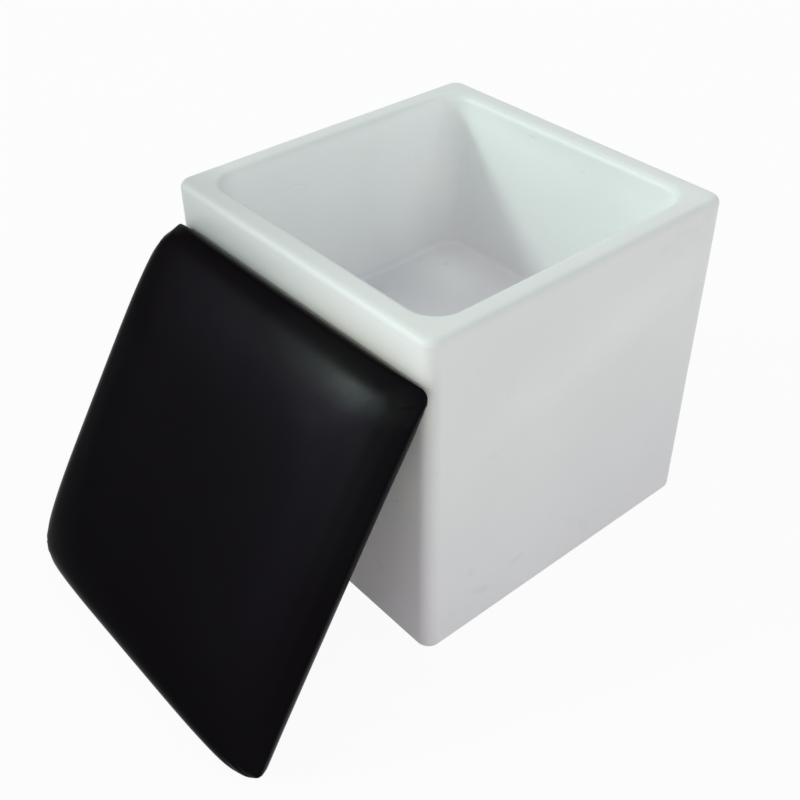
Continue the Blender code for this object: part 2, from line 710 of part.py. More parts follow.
def make_jack(frame, black, steel, rubber):
    mouth = -FIT_GAP - JACK_FLANGE_THICKNESS
    bore_end = mouth + JACK_BORE_DEPTH
    top = control_bottom - flange_bottom - FIT_GAP
    profile = [
        (0, bore_end - JACK_PIN_LENGTH),
        (JACK_PIN_RADIUS, bore_end - JACK_PIN_LENGTH),
        (JACK_PIN_RADIUS, bore_end),
        (JACK_BORE_RADIUS, bore_end),
        (JACK_BORE_RADIUS, mouth),
        (JACK_FLANGE_RADIUS, mouth),
        (JACK_FLANGE_RADIUS, -FIT_GAP),
        (JACK_RADIUS, -FIT_GAP),
        (JACK_RADIUS, top),
        (0, top),
    ]
    at = (jack_x, control_y, flange_bottom)
    bm = bmesh.new()
    add_turned(bm, profile, SMALL_TURN_SIDES)
    new_object("charge_socket", bm, black, frame, at)

    nut = bmesh.new()
    low = FLANGE_THICKNESS + FIT_GAP
    inner = circle_ring(JACK_RADIUS + FIT_GAP, low, 12)
    outer = circle_ring(NUT_RADIUS, low, 6)
    hexagon = []
    for k in range(6):
        a, b = Vector(outer[k]), Vector(outer[(k + 1) % 6])
        hexagon += [a, (a + b) / 2]
    up = Vector((0, 0, NUT_THICKNESS))
    rings = [inner, hexagon, [point + up for point in hexagon], [Vector(point) + up for point in inner]]
    add_loft(nut, rings, closed=True)
    new_object("socket_nut", nut, steel, frame, at)

    pull = empty("bung_slide", frame, at)
    cap_top = mouth - FIT_GAP
    cap = [
        (0, cap_top - BUNG_THICKNESS),
        (BUNG_RADIUS, cap_top - BUNG_THICKNESS),
        (BUNG_RADIUS, cap_top),
        (BUNG_STEM_RADIUS, cap_top),
        (BUNG_STEM_RADIUS, cap_top + BUNG_STEM_LENGTH),
        (0, cap_top + BUNG_STEM_LENGTH),
    ]
    bung = bmesh.new()
    add_turned(bung, cap, SMALL_TURN_SIDES)
    plug = new_object("socket_plug", bung, rubber, pull)
    tab = bmesh.new()
    reach = BUNG_TAB_WIDTH / 2
    low = (BUNG_RADIUS - BUNG_TAB_LENGTH, -reach, cap_top - BUNG_THICKNESS + BUNG_TAB_INSET)
    high = (BUNG_RADIUS + BUNG_TAB_LENGTH, reach, cap_top - BUNG_TAB_INSET)
    add_box(tab, low, high)
    add_boolean(plug, as_helper(new_object("bung_tab", tab, rubber, pull)), "UNION")


def make_led_board(frame, metal, chip, steel):
    bm = bmesh.new()
    add_turned(bm, [(led_board_radius, 0), (led_board_radius, BOARD_THICKNESS)], BIG_TURN_SIDES)
    board = new_object("led_board", bm, metal, frame, (0, 0, led_board_bottom))
    holes = bmesh.new()
    for number, angle in enumerate(post_angles, 1):
        x, y = on_circle(post_circle, angle)
        radius = SMALL_SCREW_RADIUS + FIT_GAP
        add_cylinder(holes, x, y, -OVERRUN, BOARD_THICKNESS + OVERRUN, radius, SCREW_SIDES)
        small_screw(f"led_screw_{number}", x, y, led_board_top, steel, frame)
    drilled = as_helper(new_object("board_holes", holes, metal, frame, (0, 0, led_board_bottom)))
    add_boolean(board, drilled, "DIFFERENCE")
    led_circle = led_board_radius * LED_CIRCLE_SHARE
    for number, angle in enumerate(even_angles(LED_COUNT), 1):
        x, y = on_circle(led_circle, angle)
        body = bmesh.new()
        reach = LED_SIDE / 2
        add_box(body, (-reach, -reach, 0), (reach, reach, LED_HEIGHT))
        rim = [edge for edge in body.edges if all(vert.co.z > 0 for vert in edge.verts)]
        bmesh.ops.bevel(
            body, geom=rim, offset=LED_BEVEL, segments=1, affect="EDGES", profile=0.5, material=-1
        )
        led = new_object(f"led_{number}", body, chip, frame, (x, y, led_board_top + FIT_GAP))
        led.rotation_euler = (0, 0, angle)


def dome_profile(shoulder, foot, rise):
    """A quarter of a flattened circle from the shoulder in to the top."""
    steps = 7
    points = []
    for step in range(steps + 1):
        angle = math.pi / 2 * step / steps
        radius = shoulder * math.cos(angle) if step < steps else 0
        points.append((radius, foot + rise * math.sin(angle)))
    return points


def make_dome(frame, clear, steel):
    low = cup_rim + FIT_GAP
    flange_face = low + DOME_FLANGE_THICKNESS
    shoulder = pillar_circle - SMALL_SCREW_HEAD_RADIUS - DOME_SHOULDER
    outer = dome_profile(shoulder, flange_face, DOME_RISE - DOME_FLANGE_THICKNESS)
    inner = dome_profile(shoulder - DOME_WALL, low, DOME_RISE - DOME_WALL)
    profile = inner[::-1] + [(cup_radius, low), (cup_radius, flange_face)] + outer
    bm = bmesh.new()
    add_turned(bm, profile, BIG_TURN_SIDES)
    dome = new_object("lamp_dome", bm, clear, frame)
    holes = bmesh.new()
    for number, angle in enumerate(pillar_angles, 1):
        x, y = on_circle(pillar_circle, angle)
        span = (low - OVERRUN, flange_face + OVERRUN)
        add_cylinder(holes, x, y, *span, SMALL_SCREW_RADIUS + FIT_GAP, SCREW_SIDES)
        small_screw(f"dome_screw_{number}", x, y, flange_face, steel, frame)
    add_boolean(dome, as_helper(new_object("dome_holes", holes, clear, frame)), "DIFFERENCE")


def make_lead(name, stations, colour, frame):
    """A short fixed lead on a smooth curve through its stations."""
    steps_between = 4
    points = []
    for k in range(len(stations) - 1):
        before = Vector(stations[max(k - 1, 0)])
        start = Vector(stations[k])
        end = Vector(stations[k + 1])
        after = Vector(stations[min(k + 2, len(stations) - 1)])
        for step in range(steps_between):
            t = step / steps_between
            bend = (2 * before - 5 * start + 4 * end - after) * t * t
            twist = (3 * start - before - 3 * end + after) * t * t * t
            points.append(start + ((end - before) * t + bend + twist) / 2)
    points.append(Vector(stations[-1]))
    curve = bpy.data.curves.new(name, "CURVE")
    curve.dimensions = "3D"
    curve.bevel_depth = LEAD_RADIUS
    curve.bevel_resolution = 1
    curve.use_fill_caps = True
    spline = curve.splines.new("POLY")
    spline.points.add(len(points) - 1)
    for spot, point in zip(spline.points, points):
        spot.co = (*point, 1)
    curve.materials.append(colour)
    made = bpy.data.objects.new(name, curve)
    bpy.context.scene.collection.objects.link(made)
    made.parent = frame


def make_leads(frame, red, black):
    """One lead from the first cell to the control board and one from there to the diodes."""
    cell_x = CELL_LENGTH / 2 - LEAD_CELL_INSET
    x = CONTROL_LENGTH / 2 - LEAD_INSET
    board_y = control_near - LEAD_INSET
    top = cells_top + LEAD_ARCH
    mid_y = (cell_1_y + board_y) / 2
    arch = [
        (cell_x, cell_1_y, cells_top + FIT_GAP),
        (cell_x, cell_1_y - LEAD_ARCH / 4, cells_top + LEAD_ARCH * 2 / 3),
        ((cell_x + x) / 2, mid_y, top),
        (x, board_y + LEAD_ARCH / 8, (top + control_top) / 2),
        (x, board_y, control_top + FIT_GAP),
    ]
    make_lead("battery_lead", arch, red, frame)
    end = led_board_bottom - FIT_GAP
    rise = [
        (-x, board_y, control_top + FIT_GAP),
        (-x, board_y - LEAD_ARCH / 8, (2 * control_top + end) / 3),
        (-x, board_y - LEAD_ARCH / 2, (control_top + 2 * end) / 3),
        (-x, board_y - LEAD_ARCH / 2, end),
    ]
    make_lead("led_lead", rise, black, frame)


def lid_section():
    """Corners of the cover's outer face at the middle of a side, from its turned-in edge up and over."""
    board_edge = lid_half - LID_TUCK
    bulge_height = (foam_bottom + LID_EDGE_HEIGHT) / 2
    corners = [
        (lid_half - COVER_TURN_IN, 0, 0),
        (board_edge, 0, LID_UNDER_EDGE_RADIUS),
        (board_edge + LID_TUCK * foam_bottom / bulge_height, foam_bottom, 0),
        (lid_half, bulge_height, 0),
        (lid_half - LID_TUCK / 2, LID_EDGE_HEIGHT, LID_RIDGE_RADIUS),
    ]
    for share in LID_CROWN_SHARES:
        rise = (LID_CROWN_HEIGHT - LID_EDGE_HEIGHT) * (1 - share**LID_CROWN_BEND_SHARE)
        corners.append((lid_half * share, LID_EDGE_HEIGHT + rise, 0))
    return corners


def lid_outline():
    """Plan points of the lid on a square of half width one, each with how much of a corner it is."""
    corner_share = LID_CORNER_RADIUS / lid_half
    straight_share = 1 - corner_share
    points = []
    for quarter in range(4):
        turn = Matrix.Rotation(quarter * math.pi / 2, 2)
        for step in range(1, LID_SIDE_STEPS):
            along = 2 * step / LID_SIDE_STEPS - 1
            spot = Vector((1, along * straight_share))
            points.append((turn @ spot, abs(along) ** LID_CORNER_SPREAD_SHARE))
        for step in range(LID_CORNER_STEPS + 1):
            spot = Vector((straight_share, straight_share))
            spot += Vector(on_circle(corner_share, math.pi / 2 * step / LID_CORNER_STEPS))
            points.append((turn @ spot, 1))
    return points


def lid_ring(half, height):
    """One ring of the lid's section, low at its corners, and rounder the nearer it is to the middle."""
    if half == 0:
        return [(0, 0, height)]
    edge_share = (half / lid_half) ** LID_EDGE_FADE_SHARE
    round_share = max(1 - half / (lid_half - LID_TUCK), 0)
    above_board = max(height - foam_bottom, 0)
    ring = []
    for spot, cornered in lid_outline():
        place = spot.lerp(spot.normalized(), round_share) * half
        drop = above_board * LID_CORNER_DROP_SHARE * cornered * edge_share
        ring.append((place.x, place.y, height - drop))
    return ring


def make_lid_cover(frame, finish):
    outer = filleted_path(lid_section())
    inner = filleted_path(lid_section(), COVER_THICKNESS)
    bm = bmesh.new()
    add_loft(bm, [lid_ring(half, height) for half, height, _ in outer[::-1] + inner])
    return new_object("lid_cover", bm, finish, frame)


def make_lid_foam(frame, finish):
    """The padding fills the cover down to the board: its rings start at the section's third corner."""
    face = filleted_path(lid_section(), COVER_THICKNESS + FOAM_GAP)
    bm = bmesh.new()
    add_loft(bm, [lid_ring(half, height) for half, height, number in face if number >= 2])
    new_object("lid_foam", bm, finish, frame)


def batten_places():
    """Middle and turn of each batten, one along each side of the mouth."""
    places = []
    for quarter in range(4):
        turn = quarter * math.pi / 2
        places.append(((*on_circle(batten_offset, turn), batten_top), turn + math.pi / 2))
    return places


def batten_screw_spots():
    spots = []
    for (x, y, _), turn in batten_places():
        for side in (-1, 1):
            away_x, away_y = on_circle(batten_screw_step * side, turn)
            spots.append((x + away_x, y + away_y))
    return spots


def drill(target, spots, low, high, finish, frame):
    """Cuts the batten screws' holes through a piece of the lid."""
    holes = bmesh.new()
    for x, y in spots:
        add_cylinder(holes, x, y, low, high, BATTEN_SCREW_RADIUS + FIT_GAP, SCREW_SIDES)
    tool = as_helper(new_object(f"{target.name}_holes", holes, finish, frame))
    add_boolean(target, tool, "DIFFERENCE")


def make_lid_boards(frame, plywood, cloth, timber, steel):
    bm = bmesh.new()
    rings = []
    for height in (lid_board_bottom, lid_board_top):
        rings.append(square_ring(lid_board_half, LID_BOARD_CORNER_RADIUS, height))
    add_loft(bm, rings)
    board = new_object("lid_board", bm, plywood, frame)
    bite_end = lining_top + FIT_GAP + BATTEN_SCREW_BITE + FIT_GAP
    drill(board, batten_screw_spots(), -OVERRUN, bite_end, plywood, frame)

    bm = bmesh.new()
    rings = []
    for height in (lining_bottom, lining_top):
        rings.append(square_ring(lining_half, LINING_CORNER_RADIUS, height))
    add_loft(bm, rings)
    lining = new_object("lid_lining", bm, cloth, frame)
    span = (lining_bottom - OVERRUN, lining_top + OVERRUN)
    drill(lining, batten_screw_spots(), *span, cloth, frame)

    for number, (place, turn) in enumerate(batten_places(), 1):
        bm = bmesh.new()
        low = (-batten_half_length, -BATTEN_WIDTH / 2, -BATTEN_THICKNESS)
        high = (batten_half_length, BATTEN_WIDTH / 2, 0)
        add_box(bm, low, high)
        eased = [edge for edge in bm.edges if any(vert.co.z < 0 for vert in edge.verts)]
        bmesh.ops.bevel(
            bm, geom=eased, offset=BATTEN_EDGE_RADIUS, segments=2, affect="EDGES", profile=0.5, material=-1
        )
        batten = new_object(f"lid_batten_{number}", bm, timber, frame, place)
        batten.rotation_euler = (0, 0, turn)
        own_spots = batten_screw_spots()[2 * number - 2 : 2 * number]
        holes = bmesh.new()
        recess = BATTEN_SCREW_HEAD_RADIUS + FIT_GAP
        bore = BATTEN_SCREW_RADIUS + FIT_GAP
        profile = [
            (0, batten_bottom - OVERRUN),
            (recess, batten_bottom - OVERRUN),
            (recess, batten_screw_head),
            (bore, batten_screw_head + BATTEN_SCREW_HEAD_HEIGHT),
            (bore, batten_top + OVERRUN),
            (0, batten_top + OVERRUN),
        ]
        for x, y in own_spots:
            add_turned(holes, profile, SCREW_SIDES, Matrix.Translation((x, y, 0)))
        tool = as_helper(new_object(f"batten_holes_{number}", holes, timber, frame))
        add_boolean(batten, tool, "DIFFERENCE")

    seat = batten_screw_head - FIT_GAP + BATTEN_SCREW_HEAD_HEIGHT
    length = BATTEN_SCREW_BITE - seat
    for number, (x, y) in enumerate(batten_screw_spots(), 1):
        bm = screw_mesh(
            BATTEN_SCREW_HEAD_RADIUS, BATTEN_SCREW_HEAD_HEIGHT, BATTEN_SCREW_RADIUS, length, countersunk=True
        )
        new_object(f"batten_screw_{number}", bm, steel, frame, (x, y, seat))


def reach_of(made, turn):
    """Lowest and highest corner of an object's own mesh after a turn."""
    spots = [turn @ vert.co for vert in made.data.vertices]
    low = Vector([min(spot[k] for spot in spots) for k in range(3)])
    high = Vector([max(spot[k] for spot in spots) for k in range(3)])
    return low, high


def lean_lid(lid_frame, cover):
    """Stands the lid on the floor and leans its top edge on the tub's side. Returns its extent."""
    turn = Matrix.Rotation(-lid_lean, 3, "Y")
    low, high = reach_of(cover, turn)
    lid_frame.rotation_euler = (0, -lid_lean, 0)
    lid_frame.location = (-tub_half - LEAN_GAP - high.x, LID_SHIFT_ALONG_WALL, -low.z)
    return low + lid_frame.location, high + lid_frame.location


def main():
    clear_scene()
    white_shell = material("moulded_white", (0.84, 0.85, 0.83), 0.42)
    black_hide = material("coated_black", (0.012, 0.011, 0.012), 0.48)
    white_plastic = material("white_plastic", (0.80, 0.80, 0.78), 0.40)
    black_plastic = material("black_plastic", (0.02, 0.02, 0.02), 0.45)
    rubber = material("grey_rubber", (0.25, 0.25, 0.25), 0.70)
    black_rubber = material("black_rubber", (0.03, 0.03, 0.03), 0.65)
    clear = material("clear_plastic", (0.90, 0.92, 0.92), 0.08, alpha=0.35)
    steel = material("zinc_steel", (0.62, 0.62, 0.60), 0.32, metallic=1.0)
    brass = material("brass", (0.72, 0.53, 0.24), 0.35, metallic=1.0)
    wrap = material("cell_wrap", (0.06, 0.24, 0.50), 0.35)
    board_green = material("board_green", (0.02, 0.20, 0.08), 0.40)
    board_white = material("board_white", (0.78, 0.79, 0.77), 0.35)
    chip = material("diode_yellow", (0.85, 0.72, 0.25), 0.30)
    lead_red = material("lead_red", (0.50, 0.03, 0.03), 0.45)
    foam = material("foam_cream", (0.82, 0.78, 0.62), 0.95)
    plywood = material("plywood", (0.55, 0.38, 0.22), 0.70)
    timber = material("pine", (0.62, 0.45, 0.27), 0.65)
    cloth = material("black_cloth", (0.02, 0.02, 0.02), 0.95)

    stool = empty("stool_frame")
    tub = empty("tub_frame", stool)
    make_tub_shell(tub, white_shell)
    make_inserts_and_screws(tub, brass, steel)
    make_gasket(tub, rubber)
    make_lamp_base(tub, white_plastic)
    make_cells(tub, wrap, steel)
    make_control_board(tub, board_green, black_plastic, steel)
    make_button(tub, white_plastic, black_plastic)
    make_jack(tub, black_plastic, steel, black_rubber)
    make_led_board(tub, board_white, chip, steel)
    make_dome(tub, clear, steel)
    make_leads(tub, lead_red, black_plastic)

    lid = empty("lid_frame", stool)
    cover = make_lid_cover(lid, black_hide)
    make_lid_foam(lid, foam)
    make_lid_boards(lid, plywood, cloth, timber, steel)

    # The origin is under the middle of the tub and the leaning lid together
    lid_low, lid_high = lean_lid(lid, cover)
    middle_x = (lid_low.x + tub_half) / 2
    middle_y = (min(lid_low.y, -tub_half) + max(lid_high.y, tub_half)) / 2
    stool.location = (-middle_x, -middle_y, 0)


main()
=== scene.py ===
import math

import bmesh
import bpy
from mathutils import Matrix, Vector, kdtree, noise


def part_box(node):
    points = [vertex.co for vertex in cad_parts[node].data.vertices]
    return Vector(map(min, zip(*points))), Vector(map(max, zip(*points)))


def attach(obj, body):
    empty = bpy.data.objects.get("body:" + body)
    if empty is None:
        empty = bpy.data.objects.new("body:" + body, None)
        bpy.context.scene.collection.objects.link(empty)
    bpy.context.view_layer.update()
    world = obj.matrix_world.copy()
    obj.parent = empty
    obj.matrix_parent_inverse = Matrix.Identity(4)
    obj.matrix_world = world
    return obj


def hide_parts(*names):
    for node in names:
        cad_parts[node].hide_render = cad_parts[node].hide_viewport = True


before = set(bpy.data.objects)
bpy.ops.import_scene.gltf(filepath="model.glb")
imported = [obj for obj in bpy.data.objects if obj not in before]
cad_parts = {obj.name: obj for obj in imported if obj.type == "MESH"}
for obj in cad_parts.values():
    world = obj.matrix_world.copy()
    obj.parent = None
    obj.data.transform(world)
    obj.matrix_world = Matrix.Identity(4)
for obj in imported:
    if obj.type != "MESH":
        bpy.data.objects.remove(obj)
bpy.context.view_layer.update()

scene = bpy.context.scene
scene.view_settings.view_transform = "Standard"
print("stool: packed model loaded")


def addObject(name, data):
    made = bpy.data.objects.new(name, data)
    scene.collection.objects.link(made)
    return made


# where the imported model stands
def middleOf(node):
    low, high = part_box(node)
    return (low + high) / 2


tubMiddle = middleOf("tub_shell")
tubFoot = Vector((tubMiddle.x, tubMiddle.y, 0))
tubPlace = Matrix.Translation(tubFoot)
lidUpSlope = (middleOf("lid_batten_1") - middleOf("lid_batten_3")).normalized()
lidOut = Vector((-lidUpSlope.z, 0, lidUpSlope.x))
boardMiddleHeight = 0.0075  # the board's middle above the lid's underside
lidPlace = Matrix((lidUpSlope, Vector((0, 1, 0)), lidOut)).transposed().to_4x4()
lidPlace.translation = middleOf("lid_board") - lidOut * boardMiddleHeight
lidLean = math.asin(lidUpSlope.z)


# camera, at the photograph's viewpoint
cameraSpec = {
    "place": (-0.59188, -0.7585, 0.9348),
    "azimuth": -40.36,
    "elevation": 38.16,
    "roll": -0.45,
    "lens": 50.83,
    "sensor": 36,
}
turn = math.radians(cameraSpec["azimuth"])
rise = math.radians(cameraSpec["elevation"])
roll = math.radians(cameraSpec["roll"])
back = Vector((math.sin(turn) * math.cos(rise), -math.cos(turn) * math.cos(rise), math.sin(rise)))
right = Vector((math.cos(turn), math.sin(turn), 0))
up = back.cross(right)
rolledRight = math.cos(roll) * right + math.sin(roll) * up
rolledUp = math.cos(roll) * up - math.sin(roll) * right
camera = addObject("camera", bpy.data.cameras.new("camera"))
camera.data.lens = cameraSpec["lens"]
camera.data.sensor_width = cameraSpec["sensor"]
camera.matrix_world = Matrix((rolledRight, rolledUp, back)).transposed().to_4x4()
camera.location = cameraSpec["place"]
scene.camera = camera


# lamps: where the light comes from, its strength, its colour and its spread in degrees
lampSpec = {
    "keyLamp": ((-0.714, 0.467, 0.521), 1.02, (0.81, 1.0, 0.89), 10),
    "windowLamp": ((-0.58, 0.7, 0.4), 0.24, (0.93, 0.97, 1.0), 35),
    "fillLamp": ((0.25, -0.9, 0.42), 0.47, (0.985, 0.98, 1.0), 60),
    "sideLamp": ((-0.88, 0.37, 0.29), 0.28, (0.8, 0.86, 1.0), 28),
    "frontLamp": ((-0.9, -0.25, 0.36), 0.14, (1.0, 0.985, 0.97), 40),
}


def addSun(name, comesFrom, strength, colour, angle):
    lamp = bpy.data.lights.new(name, "SUN")
    lamp.energy = strength
    lamp.color = colour
    lamp.angle = math.radians(angle)
    made = addObject(name, lamp)
    made.rotation_mode = "QUATERNION"
    made.rotation_quaternion = Vector(comesFrom).to_track_quat("Z", "Y")


for lampName, lampValues in lampSpec.items():
    addSun(lampName, *lampValues)


# nodes
def isSocket(value):
    return isinstance(value, bpy.types.NodeSocket)


def feed(tree, node, sockets):
    for key, value in sockets.items():
        if isSocket(value):
            tree.links.new(value, node.inputs[key])
        else:
            node.inputs[key].default_value = value


def placeNode(tree, node):
    node.location = (190 * len(tree.nodes), -40 * (len(tree.nodes) % 7))


def addNode(tree, kind, sockets=None, **settings):
    node = tree.nodes.new("ShaderNode" + kind)
    placeNode(tree, node)
    for key, value in settings.items():
        setattr(node, key, value)
    feed(tree, node, sockets or {})
    return node


def addNoise(tree, spot, values):
    return addNode(tree, "TexNoise", {"Vector": spot, **values}).outputs[0]


def reckon(tree, operation, first, second=0.0):
    return addNode(tree, "Math", {0: first, 1: second}, operation=operation).outputs[0]


def times(tree, first, second):
    return reckon(tree, "MULTIPLY", first, second)


def plus(tree, first, second):
    return reckon(tree, "ADD", first, second)


def less(tree, first, second):
    return reckon(tree, "SUBTRACT", first, second)


def larger(tree, first, second):
    return reckon(tree, "MAXIMUM", first, second)


def blendColours(tree, share, first, second, how="MIX"):
    first, second = (value if isSocket(value) else (*value, 1) for value in (first, second))
    mixer = addNode(tree, "Mix", data_type="RGBA", blend_type=how)
    feed(tree, mixer, {0: share, 6: first, 7: second})
    return mixer.outputs[2]


def tinted(tree, share, colour, tint):
    return blendColours(tree, share, colour, blendColours(tree, 1.0, colour, tint, "MULTIPLY"))


def spread(tree, value, low, high, newLow=0.0, newHigh=1.0):
    sockets = {"Value": value, "From Min": low, "From Max": high, "To Min": newLow, "To Max": newHigh}
    return addNode(tree, "MapRange", sockets).outputs[0]


# a shared effect: its inputs with their values, a vector where the value is None, and its outputs
def newGroup(name, inputs, outputs):
    group = bpy.data.node_groups.new(name, "ShaderNodeTree")
    for title, value in inputs.items():
        kind = "NodeSocketVector" if value is None else "NodeSocketFloat"
        socket = group.interface.new_socket(title, in_out="INPUT", socket_type=kind)
        if value is not None:
            socket.default_value = value
    for title in outputs:
        group.interface.new_socket(title, in_out="OUTPUT", socket_type="NodeSocketFloat")
    source = group.nodes.new("NodeGroupInput")
    target = group.nodes.new("NodeGroupOutput")
    target.location = (3000, 0)
    return group, source.outputs, target.inputs


def addGroup(tree, group, sockets):
    node = tree.nodes.new("ShaderNodeGroup")
    node.node_tree = group
    placeNode(tree, node)
    feed(tree, node, sockets)
    return node.outputs


# mottle: slow change of tone and fine speckle
mottleSpec = {
    "slow": {"Detail": 5.0, "Roughness": 0.55},
    "slowSpread": (0.3, 0.7),
    "fine": {"Detail": 3.0, "Roughness": 0.6},
    "fineSpread": (0.25, 0.75),
}


def makeMottle(spec):
    inputs = {"Vector": None, "Slow Scale": 6.0, "Fine Scale": 300.0}
    group, given, wanted = newGroup("mottle", inputs, ("Slow", "Fine"))
    slow = addNoise(group, given[0], {"Scale": given[1], **spec["slow"]})
    fine = addNoise(group, given[0], {"Scale": given[2], **spec["fine"]})
    group.links.new(spread(group, slow, *spec["slowSpread"]), wanted[0])
    group.links.new(spread(group, fine, *spec["fineSpread"]), wanted[1])
    return group


# specks: a few small dots, as dust or flecks in a moulding
def makeSpecks(smallest):
    inputs = {"Vector": None, "Scale": 60.0, "Size": 0.06, "Share": 0.2}
    group, given, wanted = newGroup("specks", inputs, ("Mask",))
    cells = addNode(group, "TexVoronoi", {"Vector": given[0], "Scale": given[1]})
    chance = addNode(group, "SeparateColor", {0: cells.outputs["Color"]})
    picked = reckon(group, "LESS_THAN", chance.outputs[0], given[3])
    ownSize = times(group, given[2], spread(group, chance.outputs[1], 0.0, 1.0, smallest, 1.0))
    dot = reckon(group, "LESS_THAN", cells.outputs["Distance"], ownSize)
    group.links.new(times(group, picked, dot), wanted[0])
    return group


# scuffs: thin broken lines where a noise passes its middle value
scuffSpec = {"lineDetail": 1.5, "breakScale": 1.7, "breakDetail": 2.0, "breakShare": 0.9}


def makeScuffs(spec):
    inputs = {"Vector": None, "Scale": 9.0, "Width": 0.004, "Share": 0.5}
    group, given, wanted = newGroup("scuffs", inputs, ("Mask",))
    wander = addNoise(group, given[0], {"Scale": given[1], "Detail": spec["lineDetail"]})
    scale = times(group, given[1], spec["breakScale"])
    where = addNoise(group, given[0], {"Scale": scale, "Detail": spec["breakDetail"]})
    offLine = reckon(group, "ABSOLUTE", less(group, wander, 0.5))
    onLine = larger(group, less(group, 1.0, reckon(group, "DIVIDE", offLine, given[2])), 0.0)
    limit = less(group, 1.0, times(group, given[3], spec["breakShare"]))
    here = reckon(group, "GREATER_THAN", where, limit)
    group.links.new(times(group, onLine, here), wanted[0])
    return group


mottleGroup = makeMottle(mottleSpec)
speckGroup = makeSpecks(0.3)
scuffGroup = makeScuffs(scuffSpec)


def mottled(tree, spot, slowScale, fineScale):
    return addGroup(tree, mottleGroup, {"Vector": spot, "Slow Scale": slowScale, "Fine Scale": fineScale})


def speckled(tree, spot, values):
    return addGroup(tree, speckGroup, {"Vector": spot, **values})[0]


def scuffed(tree, spot, values):
    return addGroup(tree, scuffGroup, {"Vector": spot, **values})[0]


def newMaterial(name, constants):
    made = bpy.data.materials.new(name)
    made.use_nodes = True
    tree = made.node_tree
    shader = tree.nodes["Principled BSDF"]
    shader.location = (2600, 0)
    tree.nodes["Material Output"].location = (2900, 0)
    feed(tree, shader, constants)
    return made, tree, shader


def objectSpot(tree, middle=(0, 0, 0), turned=(0, 0, 0)):
    coordinates = addNode(tree, "TexCoord")
    sockets = {"Vector": coordinates.outputs["Object"], "Location": middle, "Rotation": turned}
    return addNode(tree, "Mapping", sockets, vector_type="TEXTURE").outputs[0]


def lidSpot(tree):
    return objectSpot(tree, middle=lidPlace.translation, turned=(0, -lidLean, 0))


# a soft egg-shaped area round a place
def spotMask(tree, spot, at, turned, size, soft):
    sockets = {"Vector": spot, "Location": at, "Rotation": turned, "Scale": size}
    mapping = addNode(tree, "Mapping", sockets, vector_type="TEXTURE")
    reach = addNode(tree, "VectorMath", {0: mapping.outputs[0]}, operation="LENGTH").outputs["Value"]
    return spread(tree, reach, 1.0, 1.0 - soft)


# how far a place is from the middle, measured squarely
def squareReach(tree, across, deep):
    return larger(tree, reckon(tree, "ABSOLUTE", across), reckon(tree, "ABSOLUTE", deep))


# what many finishes begin with: a slowly changing tone, and a fine mask for the roughness
def begun(tree, spot, spec):
    slowMask, fineMask = mottled(tree, spot, *spec["mottle"])
    return blendColours(tree, slowMask, spec["light"], spec["dark"]), fineMask


# what every finish ends with
def finished(tree, shader, colour, rough, height, distance, strength=1.0):
    bump = addNode(tree, "Bump", {"Height": height, "Distance": distance, "Strength": strength})
    feed(tree, shader, {"Base Color": colour, "Roughness": rough, "Normal": bump.outputs[0]})


print("stool: shared effects ready")

# moulded white of the tub: faint clouds, orange peel, smudges, specks and hair scratches, with painted light and shade
tubFinishSpec = {
    "constants": {"IOR": 1.51, "Specular IOR Level": 0.45},
    "clean": (0.86, 0.875, 0.852),
    "cloud": (0.822, 0.834, 0.818),
    "cloudScale": 5.5,
    "peelScale": 420.0,
    "smudge": (0.62, 0.6, 0.58),
    "smudgeNoise": {"Scale": 14.0, "Detail": 7.0, "Roughness": 0.68, "Distortion": 0.4},
    "smudgeSpread": (0.6, 0.84, 0.0, 0.3),
    "smudgeRoughness": 0.4,
    "scuffs": {"Scale": 7.0, "Width": 0.0016, "Share": 0.46},
    "scuffShare": 0.22,
    "scuffDepth": 1.2,
    "speck": (0.3, 0.24, 0.18),
    "specks": {"Scale": 42.0, "Size": 0.03, "Share": 0.05},
    "speckShare": 0.45,
    # painted shade: the tub tinted darker and bluer towards the foot
    "lowShadeTint": (0.935, 0.925, 0.955),
    "lowShadeHeights": (0.33, 0.03),
    # painted shade on the near face, leaving a painted lighter band
    "faceShadeTone": (0.95, 0.955, 0.95),
    "shadedFaceDepths": (-0.19, -0.196),
    # painted light and shade inside the bucket: a lavender shade low down, a greener lit tone high up
    "bucketShadeTint": (0.975, 0.96, 0.985),
    "bucketLightTint": (0.965, 1.0, 1.0),
    "bucketHeights": (0.2, 0.33),
    "bucketReach": (0.1795, 0.1715),
    "bucketFloor": (0.19, 0.194),
    # painted shade: the rim's top darkened and tinted greener, most at the far side, to stand for how the light falls
    "rimNearShade": (0.82, 0.85, 0.835),
    "rimFarShade": (0.77, 0.815, 0.8),
    "rimDepths": (-0.18, 0.18),
    "rimHeights": (0.3835, 0.3905),
    "roughness": (0.4, 0.5),
    "bump": 0.00006,
}
level = (0, 0, 0)
